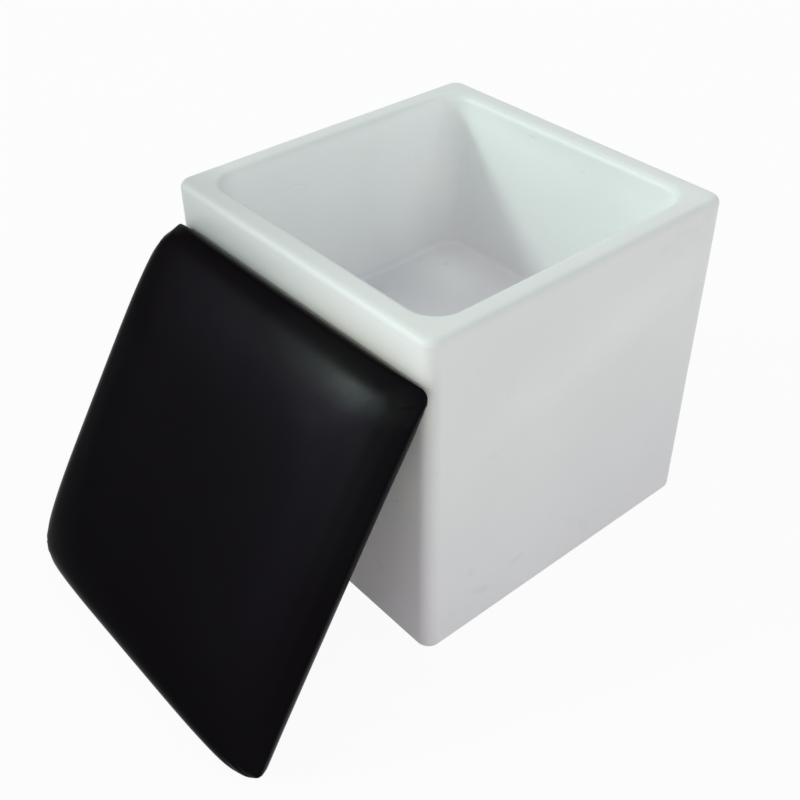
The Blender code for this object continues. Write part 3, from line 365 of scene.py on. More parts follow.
# single marks seen in the photograph, and the last one painted shade, from the middle of the tub's foot: place, turn,
# half size, tone, share
markSoft = 0.6
tubMarksAndShade = [
    ((-0.2, -0.154, 0.1858), level, (0.006, 0.001, 0.0012), (0.12, 0.11, 0.12), 0.85),
    ((-0.2, -0.1247, 0.0747), (0.715, 0, 0), (0.006, 0.0145, 0.0007), (0.36, 0.3, 0.28), 0.42),
    ((-0.2, -0.148, 0.135), (0.35, 0, 0), (0.006, 0.011, 0.0007), (0.45, 0.43, 0.42), 0.14),
    ((-0.2, -0.142, 0.108), (0.25, 0, 0), (0.006, 0.0075, 0.0012), (0.45, 0.43, 0.42), 0.16),
    ((-0.1261, -0.2, 0.0451), (0, 0.5, 0), (0.02, 0.006, 0.007), (0.5, 0.45, 0.45), 0.13),
    ((-0.072, -0.2, 0.056), (0, -0.3, 0), (0.012, 0.006, 0.005), (0.5, 0.45, 0.45), 0.13),
    ((-0.142, -0.2, 0.082), (0, 0.4, 0), (0.006, 0.006, 0.008), (0.5, 0.45, 0.45), 0.1),
    ((0.125, -0.2, 0.305), (0, -0.6, 0), (0.012, 0.006, 0.002), (0.5, 0.47, 0.44), 0.13),
    ((0.1725, 0.0434, 0.379), (0.1, 0, 0), (0.008, 0.009, 0.0026), (0.62, 0.46, 0.36), 0.2),
    ((0.1725, -0.035, 0.365), (0.2, 0, 0), (0.008, 0.006, 0.003), (0.6, 0.47, 0.38), 0.14),
    ((0.12, 0.125, 0.195), level, (0.005, 0.006, 0.006), (0.5, 0.5, 0.48), 0.16),
    # painted shade: the strip of the left face above the lid, darkened and warmed
    ((-0.2, -0.12, 0.325), level, (0.01, 0.22, 0.058), (0.94, 0.915, 0.85), 0.85),
]
# wide soft areas of painted shade, where the tub is darkened or tinted to stand for how the light falls: the same
# values
areaSoft = 0.95
paintedShadeAreas = [
    ((-0.2, 0.26, 0.36), level, (0.06, 0.4, 0.17), (0.46, 0.48, 0.46), 0.9),
    ((0.1725, -0.06, 0.34), level, (0.02, 0.17, 0.14), (0.75, 0.785, 0.755), 1.0),
    ((0.13, 0.1725, 0.29), level, (0.1, 0.02, 0.12), (0.93, 0.94, 0.93), 1.0),
    ((0.11, 0.11, 0.195), level, (0.06, 0.06, 0.012), (0.9, 0.91, 0.905), 0.8),
    ((0.02, 0.14, 0.195), level, (0.1, 0.09, 0.012), (0.6, 0.63, 0.65), 0.8),
    ((0.1745, -0.02, 0.387), level, (0.016, 0.28, 0.024), (0.7, 0.735, 0.72), 0.8),
    ((0.19, 0.06, 0.396), level, (0.05, 0.3, 0.022), (0.64, 0.69, 0.67), 0.5),
    ((-0.2, -0.15, 0.08), level, (0.02, 0.16, 0.14), (0.8, 0.755, 0.8), 0.8),
]
# painted light and shade: the near face is darkened, all but a lighter band across it: place, turn, half size
litBandArea = ((0.02, -0.2, 0.29), (0, -0.22, 0), (0.22, 0.02, 0.045))


def makeTubFinish(spec):
    made, tree, shader = newMaterial("mouldedWhite", spec["constants"])
    spot = objectSpot(tree, middle=tubFoot)
    across, deep, high = addNode(tree, "SeparateXYZ", {0: spot}).outputs
    clouds, peel = mottled(tree, spot, spec["cloudScale"], spec["peelScale"])
    colour = blendColours(tree, clouds, spec["clean"], spec["cloud"])
    # painted shade, darker and bluer towards the foot
    colour = tinted(tree, spread(tree, high, *spec["lowShadeHeights"]), colour, spec["lowShadeTint"])
    # painted shade on the near face, with a painted lighter band left across it
    band = spotMask(tree, spot, *litBandArea, areaSoft)
    faceShade = times(tree, spread(tree, deep, *spec["shadedFaceDepths"]), less(tree, 1.0, band))
    colour = tinted(tree, faceShade, colour, spec["faceShadeTone"])
    smudges = spread(tree, addNoise(tree, spot, spec["smudgeNoise"]), *spec["smudgeSpread"])
    colour = blendColours(tree, smudges, colour, spec["smudge"])
    scuffs = scuffed(tree, spot, spec["scuffs"])
    colour = blendColours(tree, times(tree, scuffs, spec["scuffShare"]), colour, spec["smudge"])
    specks = speckled(tree, spot, spec["specks"])
    colour = blendColours(tree, times(tree, specks, spec["speckShare"]), colour, spec["speck"])
    inside = spread(tree, squareReach(tree, across, deep), *spec["bucketReach"])
    above = spread(tree, high, *spec["bucketFloor"])
    # painted light and shade inside the bucket: lavender shade low down, a greener lit tone high up
    paintedBucketTint = blendColours(tree, spread(tree, high, *spec["bucketHeights"]), spec["bucketShadeTint"], spec["bucketLightTint"])
    colour = tinted(tree, times(tree, inside, above), colour, paintedBucketTint)
    # painted shade on the rim's top, darker towards the far side
    paintedRimShade = blendColours(tree, spread(tree, deep, *spec["rimDepths"]), spec["rimNearShade"], spec["rimFarShade"])
    colour = tinted(tree, spread(tree, high, *spec["rimHeights"]), colour, paintedRimShade)
    # painted shade from the areas and the strip above the lid, then the real marks
    for soft, marksAndShades in ((areaSoft, paintedShadeAreas), (markSoft, tubMarksAndShade)):
        for at, turned, size, tone, share in marksAndShades:
            mask = spotMask(tree, spot, at, turned, size, soft)
            colour = blendColours(tree, times(tree, mask, share), colour, tone)
    rough = spread(tree, peel, 0.0, 1.0, *spec["roughness"])
    rough = plus(tree, rough, times(tree, smudges, spec["smudgeRoughness"]))
    height = plus(tree, less(tree, peel, times(tree, scuffs, spec["scuffDepth"])), specks)
    finished(tree, shader, colour, rough, height, spec["bump"])
    return made


# coated black cover of the lid: pebbled grain with finer pores, dust, a mottled worn tone and painted sheen
coverFinishSpec = {
    "constants": {"Metallic": 1.0, "Specular Tint": (0.5, 0.5, 0.5, 1)},
    "base": (0.0048, 0.0041, 0.0053),
    "worn": (0.0054, 0.0047, 0.0059),
    "dust": (0.055, 0.052, 0.055),
    "paintedSheen": (0.0092, 0.0098, 0.0098),
    "mottle": (7.0, 260.0),
    "pebbleScale": 620.0,
    "pores": {"Scale": 1500.0, "Detail": 2.0},
    "poreDepth": 0.35,
    "specks": {"Scale": 95.0, "Size": 0.04, "Share": 0.03},
    "speckShare": 0.6,
    "roughness": (0.275, 0.305),
    "fineRoughness": 0.04,
    "bump": 0.00012,
    "bumpStrength": 0.28,
}
# painted sheen: where the coating is made brighter to stand for the light's highlight, from the middle of the lid's
# underside: place, half size, share
paintedSheenAreas = [
    ((0.19, -0.112, 0.044), (0.034, 0.105, 0.03), 0.95),
    ((0.11, -0.19, 0.036), (0.12, 0.03, 0.03), 0.35),
    ((0.184, -0.186, 0.034), (0.024, 0.022, 0.03), 1.4),
]


def makeCoverFinish(spec):
    made, tree, shader = newMaterial("coatedBlack", spec["constants"])
    spot = lidSpot(tree)
    pebbles = addNode(tree, "TexVoronoi", {"Vector": spot, "Scale": spec["pebbleScale"]}, feature="SMOOTH_F1")
    slowMask, fineMask = mottled(tree, spot, *spec["mottle"])
    colour = blendColours(tree, slowMask, spec["base"], spec["worn"])
    # painted sheen: the coating made brighter where the light's highlight falls
    for at, size, share in paintedSheenAreas:
        mask = spotMask(tree, spot, at, level, size, areaSoft)
        colour = blendColours(tree, times(tree, mask, share), colour, spec["paintedSheen"])
    specks = speckled(tree, spot, spec["specks"])
    colour = blendColours(tree, times(tree, specks, spec["speckShare"]), colour, spec["dust"])
    rough = spread(tree, slowMask, 0.0, 1.0, *spec["roughness"])
    rough = plus(tree, rough, spread(tree, fineMask, 0.0, 1.0, 0.0, spec["fineRoughness"]))
    pores = times(tree, addNoise(tree, spot, spec["pores"]), spec["poreDepth"])
    height = plus(tree, pebbles.outputs["Distance"], pores)
    finished(tree, shader, colour, rough, height, spec["bump"], spec["bumpStrength"])
    return made


# cloth of the lining: two crossed sets of threads
clothSpec = {
    "constants": {"Specular IOR Level": 0.2, "Sheen Weight": 0.25, "Sheen Roughness": 0.5},
    "threads": {"Scale": 190.0, "Distortion": 0.6, "Detail Scale": 2.0},
    "mottle": (9.0, 500.0),
    "between": (0.008, 0.008, 0.009),
    "thread": (0.026, 0.025, 0.027),
    "dust": (0.035, 0.033, 0.032),
    "dustShare": 0.35,
    "roughness": (0.82, 0.95),
    "bump": 0.0002,
}


def makeClothFinish(spec):
    made, tree, shader = newMaterial("dustCloth", spec["constants"])
    spot = objectSpot(tree, turned=(0, -lidLean, 0))
    sockets = {"Vector": spot, **spec["threads"]}
    warp = addNode(tree, "TexWave", sockets, bands_direction="X")
    weft = addNode(tree, "TexWave", sockets, bands_direction="Y")
    weave = larger(tree, warp.outputs["Fac"], weft.outputs["Fac"])
    slowMask, fineMask = mottled(tree, spot, *spec["mottle"])
    colour = blendColours(tree, weave, spec["between"], spec["thread"])
    colour = blendColours(tree, times(tree, slowMask, spec["dustShare"]), colour, spec["dust"])
    rough = spread(tree, fineMask, 0.0, 1.0, *spec["roughness"])
    finished(tree, shader, colour, rough, weave, spec["bump"])
    return made


# sawn timber: long grain with rings, for the battens
timberSpec = {
    "light": (0.66, 0.5, 0.31),
    "dark": (0.5, 0.33, 0.17),
    "rings": {"Scale": 2.2, "Distortion": 7.0, "Detail": 3.0, "Detail Scale": 1.4},
    "ringSpread": (0.1, 0.9),
    "ringDepth": 0.3,
    "fibres": {"Scale": 34.0, "Detail": 6.0, "Roughness": 0.7},
    "fibreSpread": (0.45, 0.75, 0.0, 0.5),
    "roughness": (0.3, 0.7, 0.55, 0.75),
    "bump": 0.0003,
}


def makeTimberFinish(name, spec, stretch):
    made, tree, shader = newMaterial(name, {"Specular IOR Level": 0.3})
    spot = objectSpot(tree, turned=(0, -lidLean, 0))
    grain = addNode(tree, "Mapping", {"Vector": spot, "Scale": stretch}).outputs[0]
    rings = addNode(tree, "TexWave", {"Vector": grain, **spec["rings"]}, wave_type="RINGS").outputs["Fac"]
    fibres = addNoise(tree, grain, spec["fibres"])
    colour = blendColours(tree, spread(tree, rings, *spec["ringSpread"]), spec["light"], spec["dark"])
    colour = blendColours(tree, spread(tree, fibres, *spec["fibreSpread"]), colour, spec["dark"])
    rough = spread(tree, fibres, *spec["roughness"])
    height = plus(tree, fibres, times(tree, rings, spec["ringDepth"]))
    finished(tree, shader, colour, rough, height, spec["bump"])
    return made


# plywood: face grain on the flats and thin plies at the edges
plySpec = {
    "stretch": (1.2, 16.0, 1.2),
    "grain": {"Scale": 9.0, "Detail": 7.0, "Roughness": 0.65, "Distortion": 0.6},
    "light": (0.6, 0.42, 0.25),
    "dark": (0.42, 0.27, 0.14),
    "ply": 0.0034,
    "plySpread": (0.0008, 0.0026),
    "plyDark": (0.36, 0.22, 0.12),
    "plyLight": (0.58, 0.41, 0.25),
    "edge": (0.1928, 0.1933),
    "roughness": (0.3, 0.7, 0.6, 0.8),
    "bump": 0.0003,
}


def makePlyFinish(spec):
    made, tree, shader = newMaterial("plywood", {"Specular IOR Level": 0.3})
    spot = lidSpot(tree)
    across, deep, high = addNode(tree, "SeparateXYZ", {0: spot}).outputs
    stretched = addNode(tree, "Mapping", {"Vector": spot, "Scale": spec["stretch"]}).outputs[0]
    grain = addNoise(tree, stretched, spec["grain"])
    colour = blendColours(tree, spread(tree, grain, 0.3, 0.7), spec["light"], spec["dark"])
    plies = spread(tree, reckon(tree, "PINGPONG", high, spec["ply"]), *spec["plySpread"])
    plyColour = blendColours(tree, plies, spec["plyDark"], spec["plyLight"])
    edge = spread(tree, squareReach(tree, across, deep), *spec["edge"])
    colour = blendColours(tree, edge, colour, plyColour)
    finished(tree, shader, colour, spread(tree, grain, *spec["roughness"]), grain, spec["bump"])
    return made


# open-cell foam, its pores darkened with painted shade
foamSpec = {
    "constants": {"Specular IOR Level": 0.15, "Sheen Weight": 0.1},
    "poreScale": 700.0,
    "poreSpread": (0.0, 0.35, 0.35, 0.0),
    "mottle": (8.0, 300.0),
    "light": (0.83, 0.79, 0.63),
    "dark": (0.76, 0.7, 0.52),
    "pore": (0.45, 0.4, 0.27),
    "roughness": (0.88, 0.98),
    "bump": 0.0008,
}


def makeFoamFinish(spec):
    made, tree, shader = newMaterial("creamFoam", spec["constants"])
    spot = objectSpot(tree)
    cells = addNode(tree, "TexVoronoi", {"Vector": spot, "Scale": spec["poreScale"]})
    pores = cells.outputs["Distance"]
    colour, fineMask = begun(tree, spot, spec)
    # painted shade in the pores
    colour = blendColours(tree, spread(tree, pores, *spec["poreSpread"]), colour, spec["pore"])
    finished(tree, shader, colour, spread(tree, fineMask, 0.0, 1.0, *spec["roughness"]), pores, spec["bump"])
    return made


# clear cover of the lamp, lightly frosted by its mould
clearSpec = {
    "constants": {"Transmission Weight": 0.85, "IOR": 1.49},
    "mottle": (40.0, 1200.0),
    "light": (0.93, 0.95, 0.95),
    "dark": (0.88, 0.91, 0.91),
    "roughness": (0.06, 0.16),
    "bump": 0.00002,
}


def makeClearFinish(spec):
    made, tree, shader = newMaterial("clearPlastic", spec["constants"])
    colour, fineMask = begun(tree, objectSpot(tree), spec)
    finished(tree, shader, colour, spread(tree, fineMask, 0.0, 1.0, *spec["roughness"]), fineMask, spec["bump"])
    return made


# green circuit board with copper tracks under its varnish
boardSpec = {
    "constants": {"Coat Weight": 0.4, "Coat Roughness": 0.2},
    "tracks": {"Scale": 60.0, "Mortar Size": 0.05, "Mortar Smooth": 0.1, "Brick Width": 0.9, "Row Height": 0.22},
    "trackShift": 0.35,
    "track": (0.05, 0.32, 0.14),
    "mottle": (60.0, 2000.0),
    "light": (0.018, 0.19, 0.075),
    "dark": (0.014, 0.15, 0.06),
    "roughness": (0.3, 0.42),
    "bump": 0.00004,
}


def makeBoardFinish(spec):
    made, tree, shader = newMaterial("boardGreen", spec["constants"])
    spot = objectSpot(tree, middle=middleOf("control_board"))
    bricks = addNode(tree, "TexBrick", {"Vector": spot, **spec["tracks"]}, offset=spec["trackShift"])
    tracks = bricks.outputs["Fac"]
    colour, fineMask = begun(tree, spot, spec)
    colour = blendColours(tree, tracks, spec["track"], colour)
    finished(tree, shader, colour, spread(tree, fineMask, 0.0, 1.0, *spec["roughness"]), tracks, spec["bump"])
    return made


# small parts: colour, shade, colour of scuffs, slow and fine scale, lowest and highest roughness, bump
partFinishes = {
    "white_plastic": ((0.8, 0.8, 0.78), (0.74, 0.74, 0.72), (0.55, 0.54, 0.52), 30, 1400, 0.36, 0.46, 0.00003),
    "black_plastic": ((0.018, 0.018, 0.019), (0.028, 0.028, 0.029), (0.09, 0.09, 0.09), 60, 2500, 0.38, 0.52, 0.00003),
    "grey_rubber": ((0.24, 0.24, 0.24), (0.19, 0.19, 0.19), (0.35, 0.35, 0.34), 35, 1600, 0.66, 0.8, 0.00005),
    "black_rubber": ((0.026, 0.026, 0.027), (0.036, 0.035, 0.035), (0.1, 0.1, 0.1), 70, 2200, 0.6, 0.74, 0.00004),
    "zinc_steel": ((0.63, 0.63, 0.61), (0.54, 0.55, 0.56), (0.4, 0.39, 0.36), 120, 2600, 0.26, 0.4, 0.00002),
    "brass": ((0.74, 0.55, 0.26), (0.62, 0.43, 0.18), (0.42, 0.3, 0.14), 120, 2600, 0.28, 0.42, 0.00002),
    "cell_wrap": ((0.05, 0.22, 0.47), (0.04, 0.17, 0.38), (0.16, 0.34, 0.55), 45, 900, 0.24, 0.36, 0.00003),
    "board_white": ((0.78, 0.79, 0.77), (0.72, 0.73, 0.71), (0.6, 0.56, 0.5), 50, 1800, 0.3, 0.42, 0.00002),
    "diode_yellow": ((0.86, 0.72, 0.24), (0.8, 0.64, 0.18), (0.88, 0.82, 0.55), 200, 3000, 0.22, 0.34, 0.00002),
    "lead_red": ((0.47, 0.03, 0.028), (0.38, 0.022, 0.02), (0.55, 0.16, 0.14), 90, 1500, 0.38, 0.5, 0.00002),
}
partConstants = {
    "zinc_steel": {"Metallic": 1.0},
    "brass": {"Metallic": 1.0},
    "cell_wrap": {"Coat Weight": 0.3, "Coat Roughness": 0.15},
}
partScuffs = {"scale": 2.5, "width": 0.012, "share": 0.5, "tone": 0.12, "roughness": 0.12}


def makePartFinish(name, colour, shade, scuffTone, slow, fine, smooth, rough, bump):
    made, tree, shader = newMaterial(name + "Finish", partConstants.get(name, {}))
    spot = objectSpot(tree)
    slowMask, fineMask = mottled(tree, spot, slow, fine)
    values = {"Scale": slow * partScuffs["scale"], "Width": partScuffs["width"], "Share": partScuffs["share"]}
    scuffs = scuffed(tree, spot, values)
    colour = blendColours(tree, slowMask, colour, shade)
    colour = blendColours(tree, times(tree, scuffs, partScuffs["tone"]), colour, scuffTone)
    rough = plus(tree, spread(tree, fineMask, 0.0, 1.0, smooth, rough), times(tree, scuffs, partScuffs["roughness"]))
    finished(tree, shader, colour, rough, fineMask, bump)
    return made


mouldedWhite = makeTubFinish(tubFinishSpec)
coatedBlack = makeCoverFinish(coverFinishSpec)
dustClothFinish = makeClothFinish(clothSpec)
creamFoam = makeFoamFinish(foamSpec)
finishes = {name: makePartFinish(name, *values) for name, values in partFinishes.items()}
finishes["clear_plastic"] = makeClearFinish(clearSpec)
finishes["board_green"] = makeBoardFinish(boardSpec)
finishes["plywood"] = makePlyFinish(plySpec)
# the battens' grain runs along each batten, up the slope or across it
pineUpSlope = makeTimberFinish("pineAlongSlope", timberSpec, (2.0, 30.0, 30.0))
pineAcross = makeTimberFinish("pineAcrossSlope", timberSpec, (30.0, 2.0, 30.0))
battenFinishes = {"lid_batten_2": pineUpSlope, "lid_batten_4": pineUpSlope}
battenFinishes.update({"lid_batten_1": pineAcross, "lid_batten_3": pineAcross})


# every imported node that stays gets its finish
def dressNodes():
    for name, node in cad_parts.items():
        own = node.material_slots[0].material.name.split(".")[0]
        finish = battenFinishes.get(name, finishes.get(own))
        if finish is not None:
            for socket in node.material_slots:
                socket.material = finish


dressNodes()
print("stool: finishes made")


# pieces
def share01(value):
    return min(max(value, 0), 1)


def dressMesh(name, mesh, finish, body, sharpAbove=40):
    mesh.materials.clear()
    mesh.materials.append(finish)
    mesh.shade_smooth()
    mesh.set_sharp_from_angle(angle=math.radians(sharpAbove))
    made = addObject(name, mesh)
    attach(made, body)
    return made


def meshOf(name, bm):
    mesh = bpy.data.meshes.new(name)
    bm.to_mesh(mesh)
    bm.free()
    return mesh


# the other way round: the mesh itself is dropped
def takeMesh(mesh, bm):
    bm.from_mesh(mesh)
    bpy.data.meshes.remove(mesh)


def faceOutward(bm):
    bmesh.ops.recalc_face_normals(bm, faces=bm.faces[:])


def finishPiece(name, bm, finish, body, sharpAbove=40, place=None):
    faceOutward(bm)
    if place is not None:
        bmesh.ops.transform(bm, matrix=place, verts=bm.verts[:])
    return dressMesh(name, meshOf(name, bm), finish, body, sharpAbove)


# square loops with round corners, grown one from another
def carry(value, old, new):
    oldStraight, newStraight = old["half"] - old["round"], new["half"] - new["round"]
    past = max(abs(value) - oldStraight, 0)
    straight = newStraight * min(abs(value) / oldStraight, 1)
    return math.copysign(straight + past / old["round"] * new["round"], value)


def roundOff(bm, geom, radius, steps, kind="EDGES"):
    if radius > 0:
        bmesh.ops.bevel(bm, geom=geom, offset=radius, segments=steps, affect=kind, profile=0.5, material=-1)


def startLoop(bm, loop, cornerSteps, sideCuts):
    place = Matrix.Translation((0, 0, loop["height"]))
    bmesh.ops.create_grid(bm, x_segments=1, y_segments=1, size=loop["half"], matrix=place)
    roundOff(bm, bm.verts[:], loop["round"], cornerSteps, "VERTICES")
    sides = [edge for edge in bm.edges if edge.calc_length() > loop["half"] * 0.9]
    bmesh.ops.subdivide_edges(bm, edges=sides, cuts=sideCuts)
    return bm.edges[:]


# a new row of faces beyond a loop of edges: its vertices and its far edges
def grown(bm, edges):
    made = bmesh.ops.extrude_edge_only(bm, edges=edges)["geom"]
    verts = [item for item in made if isinstance(item, bmesh.types.BMVert)]
    fresh = set(verts)
    return verts, [item for item in made if isinstance(item, bmesh.types.BMEdge) and set(item.verts) <= fresh]


def growLoop(bm, edges, old, new):
    verts, edges = grown(bm, edges)
    for vert in verts:
        vert.co.x, vert.co.y = carry(vert.co.x, old, new), carry(vert.co.y, old, new)
        vert.co.z = new["height"]
    return edges


def between(old, new, share):
    return {key: old[key] + (new[key] - old[key]) * share for key in ("half", "height", "round")}


def growRows(bm, edges, old, new, rows):
    before = old
    for row in range(1, rows + 1):
        step = between(old, new, row / rows)
        edges = growLoop(bm, edges, before, step)
        before = step
    return edges


def growRound(bm, edges, radius, height, rows):
    for row in range(rows):
        verts, edges = grown(bm, edges)
        for vert in verts:
            flat = vert.co.xy
            share = 1 / (rows - row)
            vert.co.x, vert.co.y = flat.lerp(flat.normalized() * radius, share)
            vert.co.z += (height - vert.co.z) * share
    return edges


# the tub: one skin of even thickness, its outer face and its inner face joined at the lamp hole
tubSpec = {
    "skin": 0.0042,
    "cornerSteps": 12,
    "sideCuts": 22,
    "holeRadius": 0.057,
    "wellRadius": 0.0859,
    "wellDepth": 0.024,
    "wellFillet": 0.004,
    "bendSteps": 8,
    "wellSteps": 4,
    "wellRows": 4,
    "holeRows": 2,
    "waviness": 0.00035,
    "wave": 0.11,
    "waveShift": (3.1, 0.7, 5.2),
    "waveSeed": 5,  # without a seed of its own, the noise would take the clock's
    "calmBelow": 0.05,
}
# the corners of its section; out and up say which way the inner face lies, rows is counted from the corner before
cornerKeys = ("half", "height", "round", "fillet", "out", "up", "rows")
cornerRows = [
    (0.02, 0.195, 0.006, 0.0, 1, -1, 0),
    (0.1655, 0.195, 0.03, 0.007, 1, -1, 6),
    (0.1725, 0.392, 0.03, -0.008, 1, -1, 9),
    (0.2, 0.392, 0.016, -0.008, -1, -1, 2),
    (0.2, 0.0, 0.016, -0.008, -1, 1, 18),
    (0.154, 0.0, 0.03, -0.002, 1, 1, 2),
    (0.154, 0.006, 0.03, 0.002, 1, 1, 1),
]
tubCorners = [dict(zip(cornerKeys, row)) for row in cornerRows]


def tubFace(bm, spec, inset):
    corners = []
    for corner in tubCorners:
        moved = dict(corner)
        for key in ("half", "round"):
            moved[key] += corner["out"] * inset
        moved["height"] += corner["up"] * inset
        moved["fillet"] = max(abs(corner["fillet"]) + math.copysign(inset, corner["fillet"]), 0)
        corners.append(moved)
    corners[0] = dict(corners[0], half=tubCorners[0]["half"], round=tubCorners[0]["round"])
    edges = startLoop(bm, corners[0], spec["cornerSteps"], spec["sideCuts"])
    bends = []
    for old, new in zip(corners, corners[1:]):
        edges = growRows(bm, edges, old, new, new["rows"])
        bends.append((edges, new["fillet"], spec["bendSteps"]))
    wellRadius, top = spec["wellRadius"] + inset, spec["wellDepth"] + inset
    edges = growRound(bm, edges, wellRadius, corners[-1]["height"], spec["wellRows"])
    bends.append((edges, max(spec["wellFillet"] - inset, 0), spec["wellSteps"]))
    edges = growRound(bm, edges, wellRadius, top, 1)
    bends.append((edges, spec["wellFillet"] + inset, spec["wellSteps"]))
    growRound(bm, edges, spec["holeRadius"], top, spec["holeRows"])
    for bend, radius, steps in bends:
        roundOff(bm, bend, radius, steps)


def wavy(spot, spec):
    shift = noise.noise_vector(spot / spec["wave"] + Vector(spec["waveShift"]))
    return shift * spec["waviness"] * share01(spot.z / spec["calmBelow"])


def makeTub(spec):
    noise.seed_set(spec["waveSeed"])
    bm = bmesh.new()
    tubFace(bm, spec, 0)
    inner = bmesh.new()
    tubFace(inner, spec, spec["skin"])
    takeMesh(meshOf("spare", inner), bm)
    bmesh.ops.bridge_loops(bm, edges=[edge for edge in bm.edges if edge.is_boundary])
    for vert in bm.verts:
        vert.co += wavy(vert.co, spec)
    tub = finishPiece("tubSkin", bm, mouldedWhite, "tub", place=tubPlace)
    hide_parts("tub_shell")


makeTub(tubSpec)
print("stool: tub made")


# the lid's cushion, made flat with its underside at height zero and then leaned into place
lidSpec = {
    "half": 0.20725,
    "cornerShare": 0.056,
    "roundGrowth": 0.6,
    "middleRound": 0.75,
    "roundest": 0.97,
    "turnIn": 0.038,
    "boardTop": 0.0138,
    "sideHeight": 0.02,  # where the side is widest
    "sideFollow": 0.8,
    "underRoll": 0.0098,
    "underBend": 1.4,
    "ridgeRoll": 0.031,
    "ridgeBend": 3.2,
    "cornerHeight": 0.023,
    "bow": 0.0145,
    "bowBend": 4.7,
    "centreShare": 0.05,
    "cornerSteps": 20,
    "sideCuts": 26,
    "underRows": 4,
    "lowRows": 7,
    "ridgeRows": 14,
    "crownRows": 20,
    # the slope of the worn corners, then how far three of them are blunted: way, start, share
    "facetStart": 0.2665,
    "facetSlope": 0.4,
    "facetFade": 0.013,
    "blunted": [(-1.2, -0.75, 0.266, 17.7), (-1.25, 0.66, 0.257, 14.7), (0.66, 1.25, 0.2575, 14.0)],
    "taper": 0.0165,
    "sideShare": 0.9885,
    "sideShift": -0.0006,
    "boardHalf": 0.19355,
    "boardRound": 0.026,
    "boardClear": 0.0021,
    "boardReach": 0.012,
    "turnReach": 0.0045,
    "underside": 0.0002,
    # the cloth trial
    "voxel": 0.0045,
    "pressure": 4.0,
    "swellSteps": 20,
    "swellCap": 0.0009,
    "inwardShare": 0.1,
    "evenPasses": 14,
    "heldBelow": 0.022,
    "heldFade": 0.016,
    # pleats over the corners and gathers under them
    "coverThickness": 0.0012,
    "sharpAbove": 80,
    "pleatFrom": (0.185, 0.19),
    "pleatTo": (0.1915, 0.1975),
    "pleatReach": 0.006,
    "pleatAbove": 0.01104,
    "pleatDepth": 0.0008,
    "pleatWidth": 0.0008,
    "pleatEase": (0.002, 0.004),
    "pleatEnd": (0.004, 0.003),
    "lapAt": 0.0022,
    "lapWidth": 0.0016,
    "lapShare": 0.35,
    "gather": 0.0009,
    "gatherWaves": 7,
    "gatherReach": 0.012,
    "gatherFade": 0.006,
    "gatherFrom": 0.003,
    "gatherRise": 0.007,
    # where the lid stands and leans
    "pressedBelow": 0.0025,
    "leanAt": -0.2005,
    "leanFade": 0.0018,
}


def crownAt(x, y, spec):
    along, across = min(abs(x) / spec["half"], 1), min(abs(y) / spec["half"], 1)
    return spec["cornerHeight"] + spec["bow"] * (2 - along ** spec["bowBend"] - across ** spec["bowBend"])


def sideAt(x, y, spec):
    reach = max(abs(x), abs(y), 0.0001)
    edge = crownAt(x / reach * spec["half"], y / reach * spec["half"], spec)
    return spec["sideHeight"] * (edge / (spec["cornerHeight"] + spec["bow"])) ** spec["sideFollow"]


# how far out and up a round of the pad's edge has come, from its start to its end
def roundOut(share, bend):
    angle = math.pi / 2 * share
    return math.sin(angle) ** (2 / bend), 1 - math.cos(angle) ** (2 / bend)


def roundOver(share, bend):
    angle = math.pi / 2 * share
    return math.cos(angle) ** (2 / bend), math.sin(angle) ** (2 / bend)


# loops of the pad from under its edge, round the side and over to the middle: plan inset, then how its height is found
def padLoops(spec):
    turnIn, roll, over = spec["turnIn"], spec["underRoll"], spec["ridgeRoll"]
    loops = [(turnIn + (roll - turnIn) * row / spec["underRows"], "under", 0) for row in range(spec["underRows"])]
    for row in range(spec["lowRows"]):
        out, rise = roundOut(row / spec["lowRows"], spec["underBend"])
        loops.append((roll * (1 - out), "under", rise))
    for row in range(spec["ridgeRows"] + 1):
        out, rise = roundOver(row / spec["ridgeRows"], spec["ridgeBend"])
        loops.append((over * (1 - out), "over", rise))
    last = spec["half"] * (1 - spec["centreShare"])
    loops += [(over + (last - over) * row / spec["crownRows"], "over", 1) for row in range(1, spec["crownRows"] + 1)]
    return loops


def makePadMesh(spec, inset):
    bm = bmesh.new()
    edges, before = None, None
    for planInset, zone, rise in padLoops(spec):
        half = spec["half"] - planInset
        middleShare = max(planInset - spec["ridgeRoll"], 0) / spec["half"]
        share = spec["cornerShare"] + planInset * spec["roundGrowth"]
        share += (1 - spec["cornerShare"]) * middleShare * spec["middleRound"]
        if zone == "under" and rise == 0:
            share = spec["cornerShare"]
        loop = {"half": half * (1 - inset / spec["half"]), "height": 0, "round": half * min(share, spec["roundest"])}
        if edges is None:
            edges = startLoop(bm, loop, spec["cornerSteps"], spec["sideCuts"])
        else:
            edges = growLoop(bm, edges, before, loop)
        before = loop
        for vert in {vert for edge in edges for vert in edge.verts}:
            side = sideAt(vert.co.x, vert.co.y, spec)
            if zone == "under":
                vert.co.z = inset + side * rise * (1 - inset / spec["sideHeight"])
            else:
                vert.co.z = side + (crownAt(vert.co.x, vert.co.y, spec) - inset - side) * rise
    bmesh.ops.edgeloop_fill(bm, edges=edges)
    for vert in bm.verts:
        foldCorner(vert, spec)
        bluntCorner(vert, spec)
        narrowing = spec["sideShare"] - spec["taper"] * vert.co.x / spec["half"]
        vert.co.y = vert.co.y * narrowing + spec["sideShift"]
        clearBoard(vert, spec)
    faceOutward(bm)
    return meshOf("pad", bm)


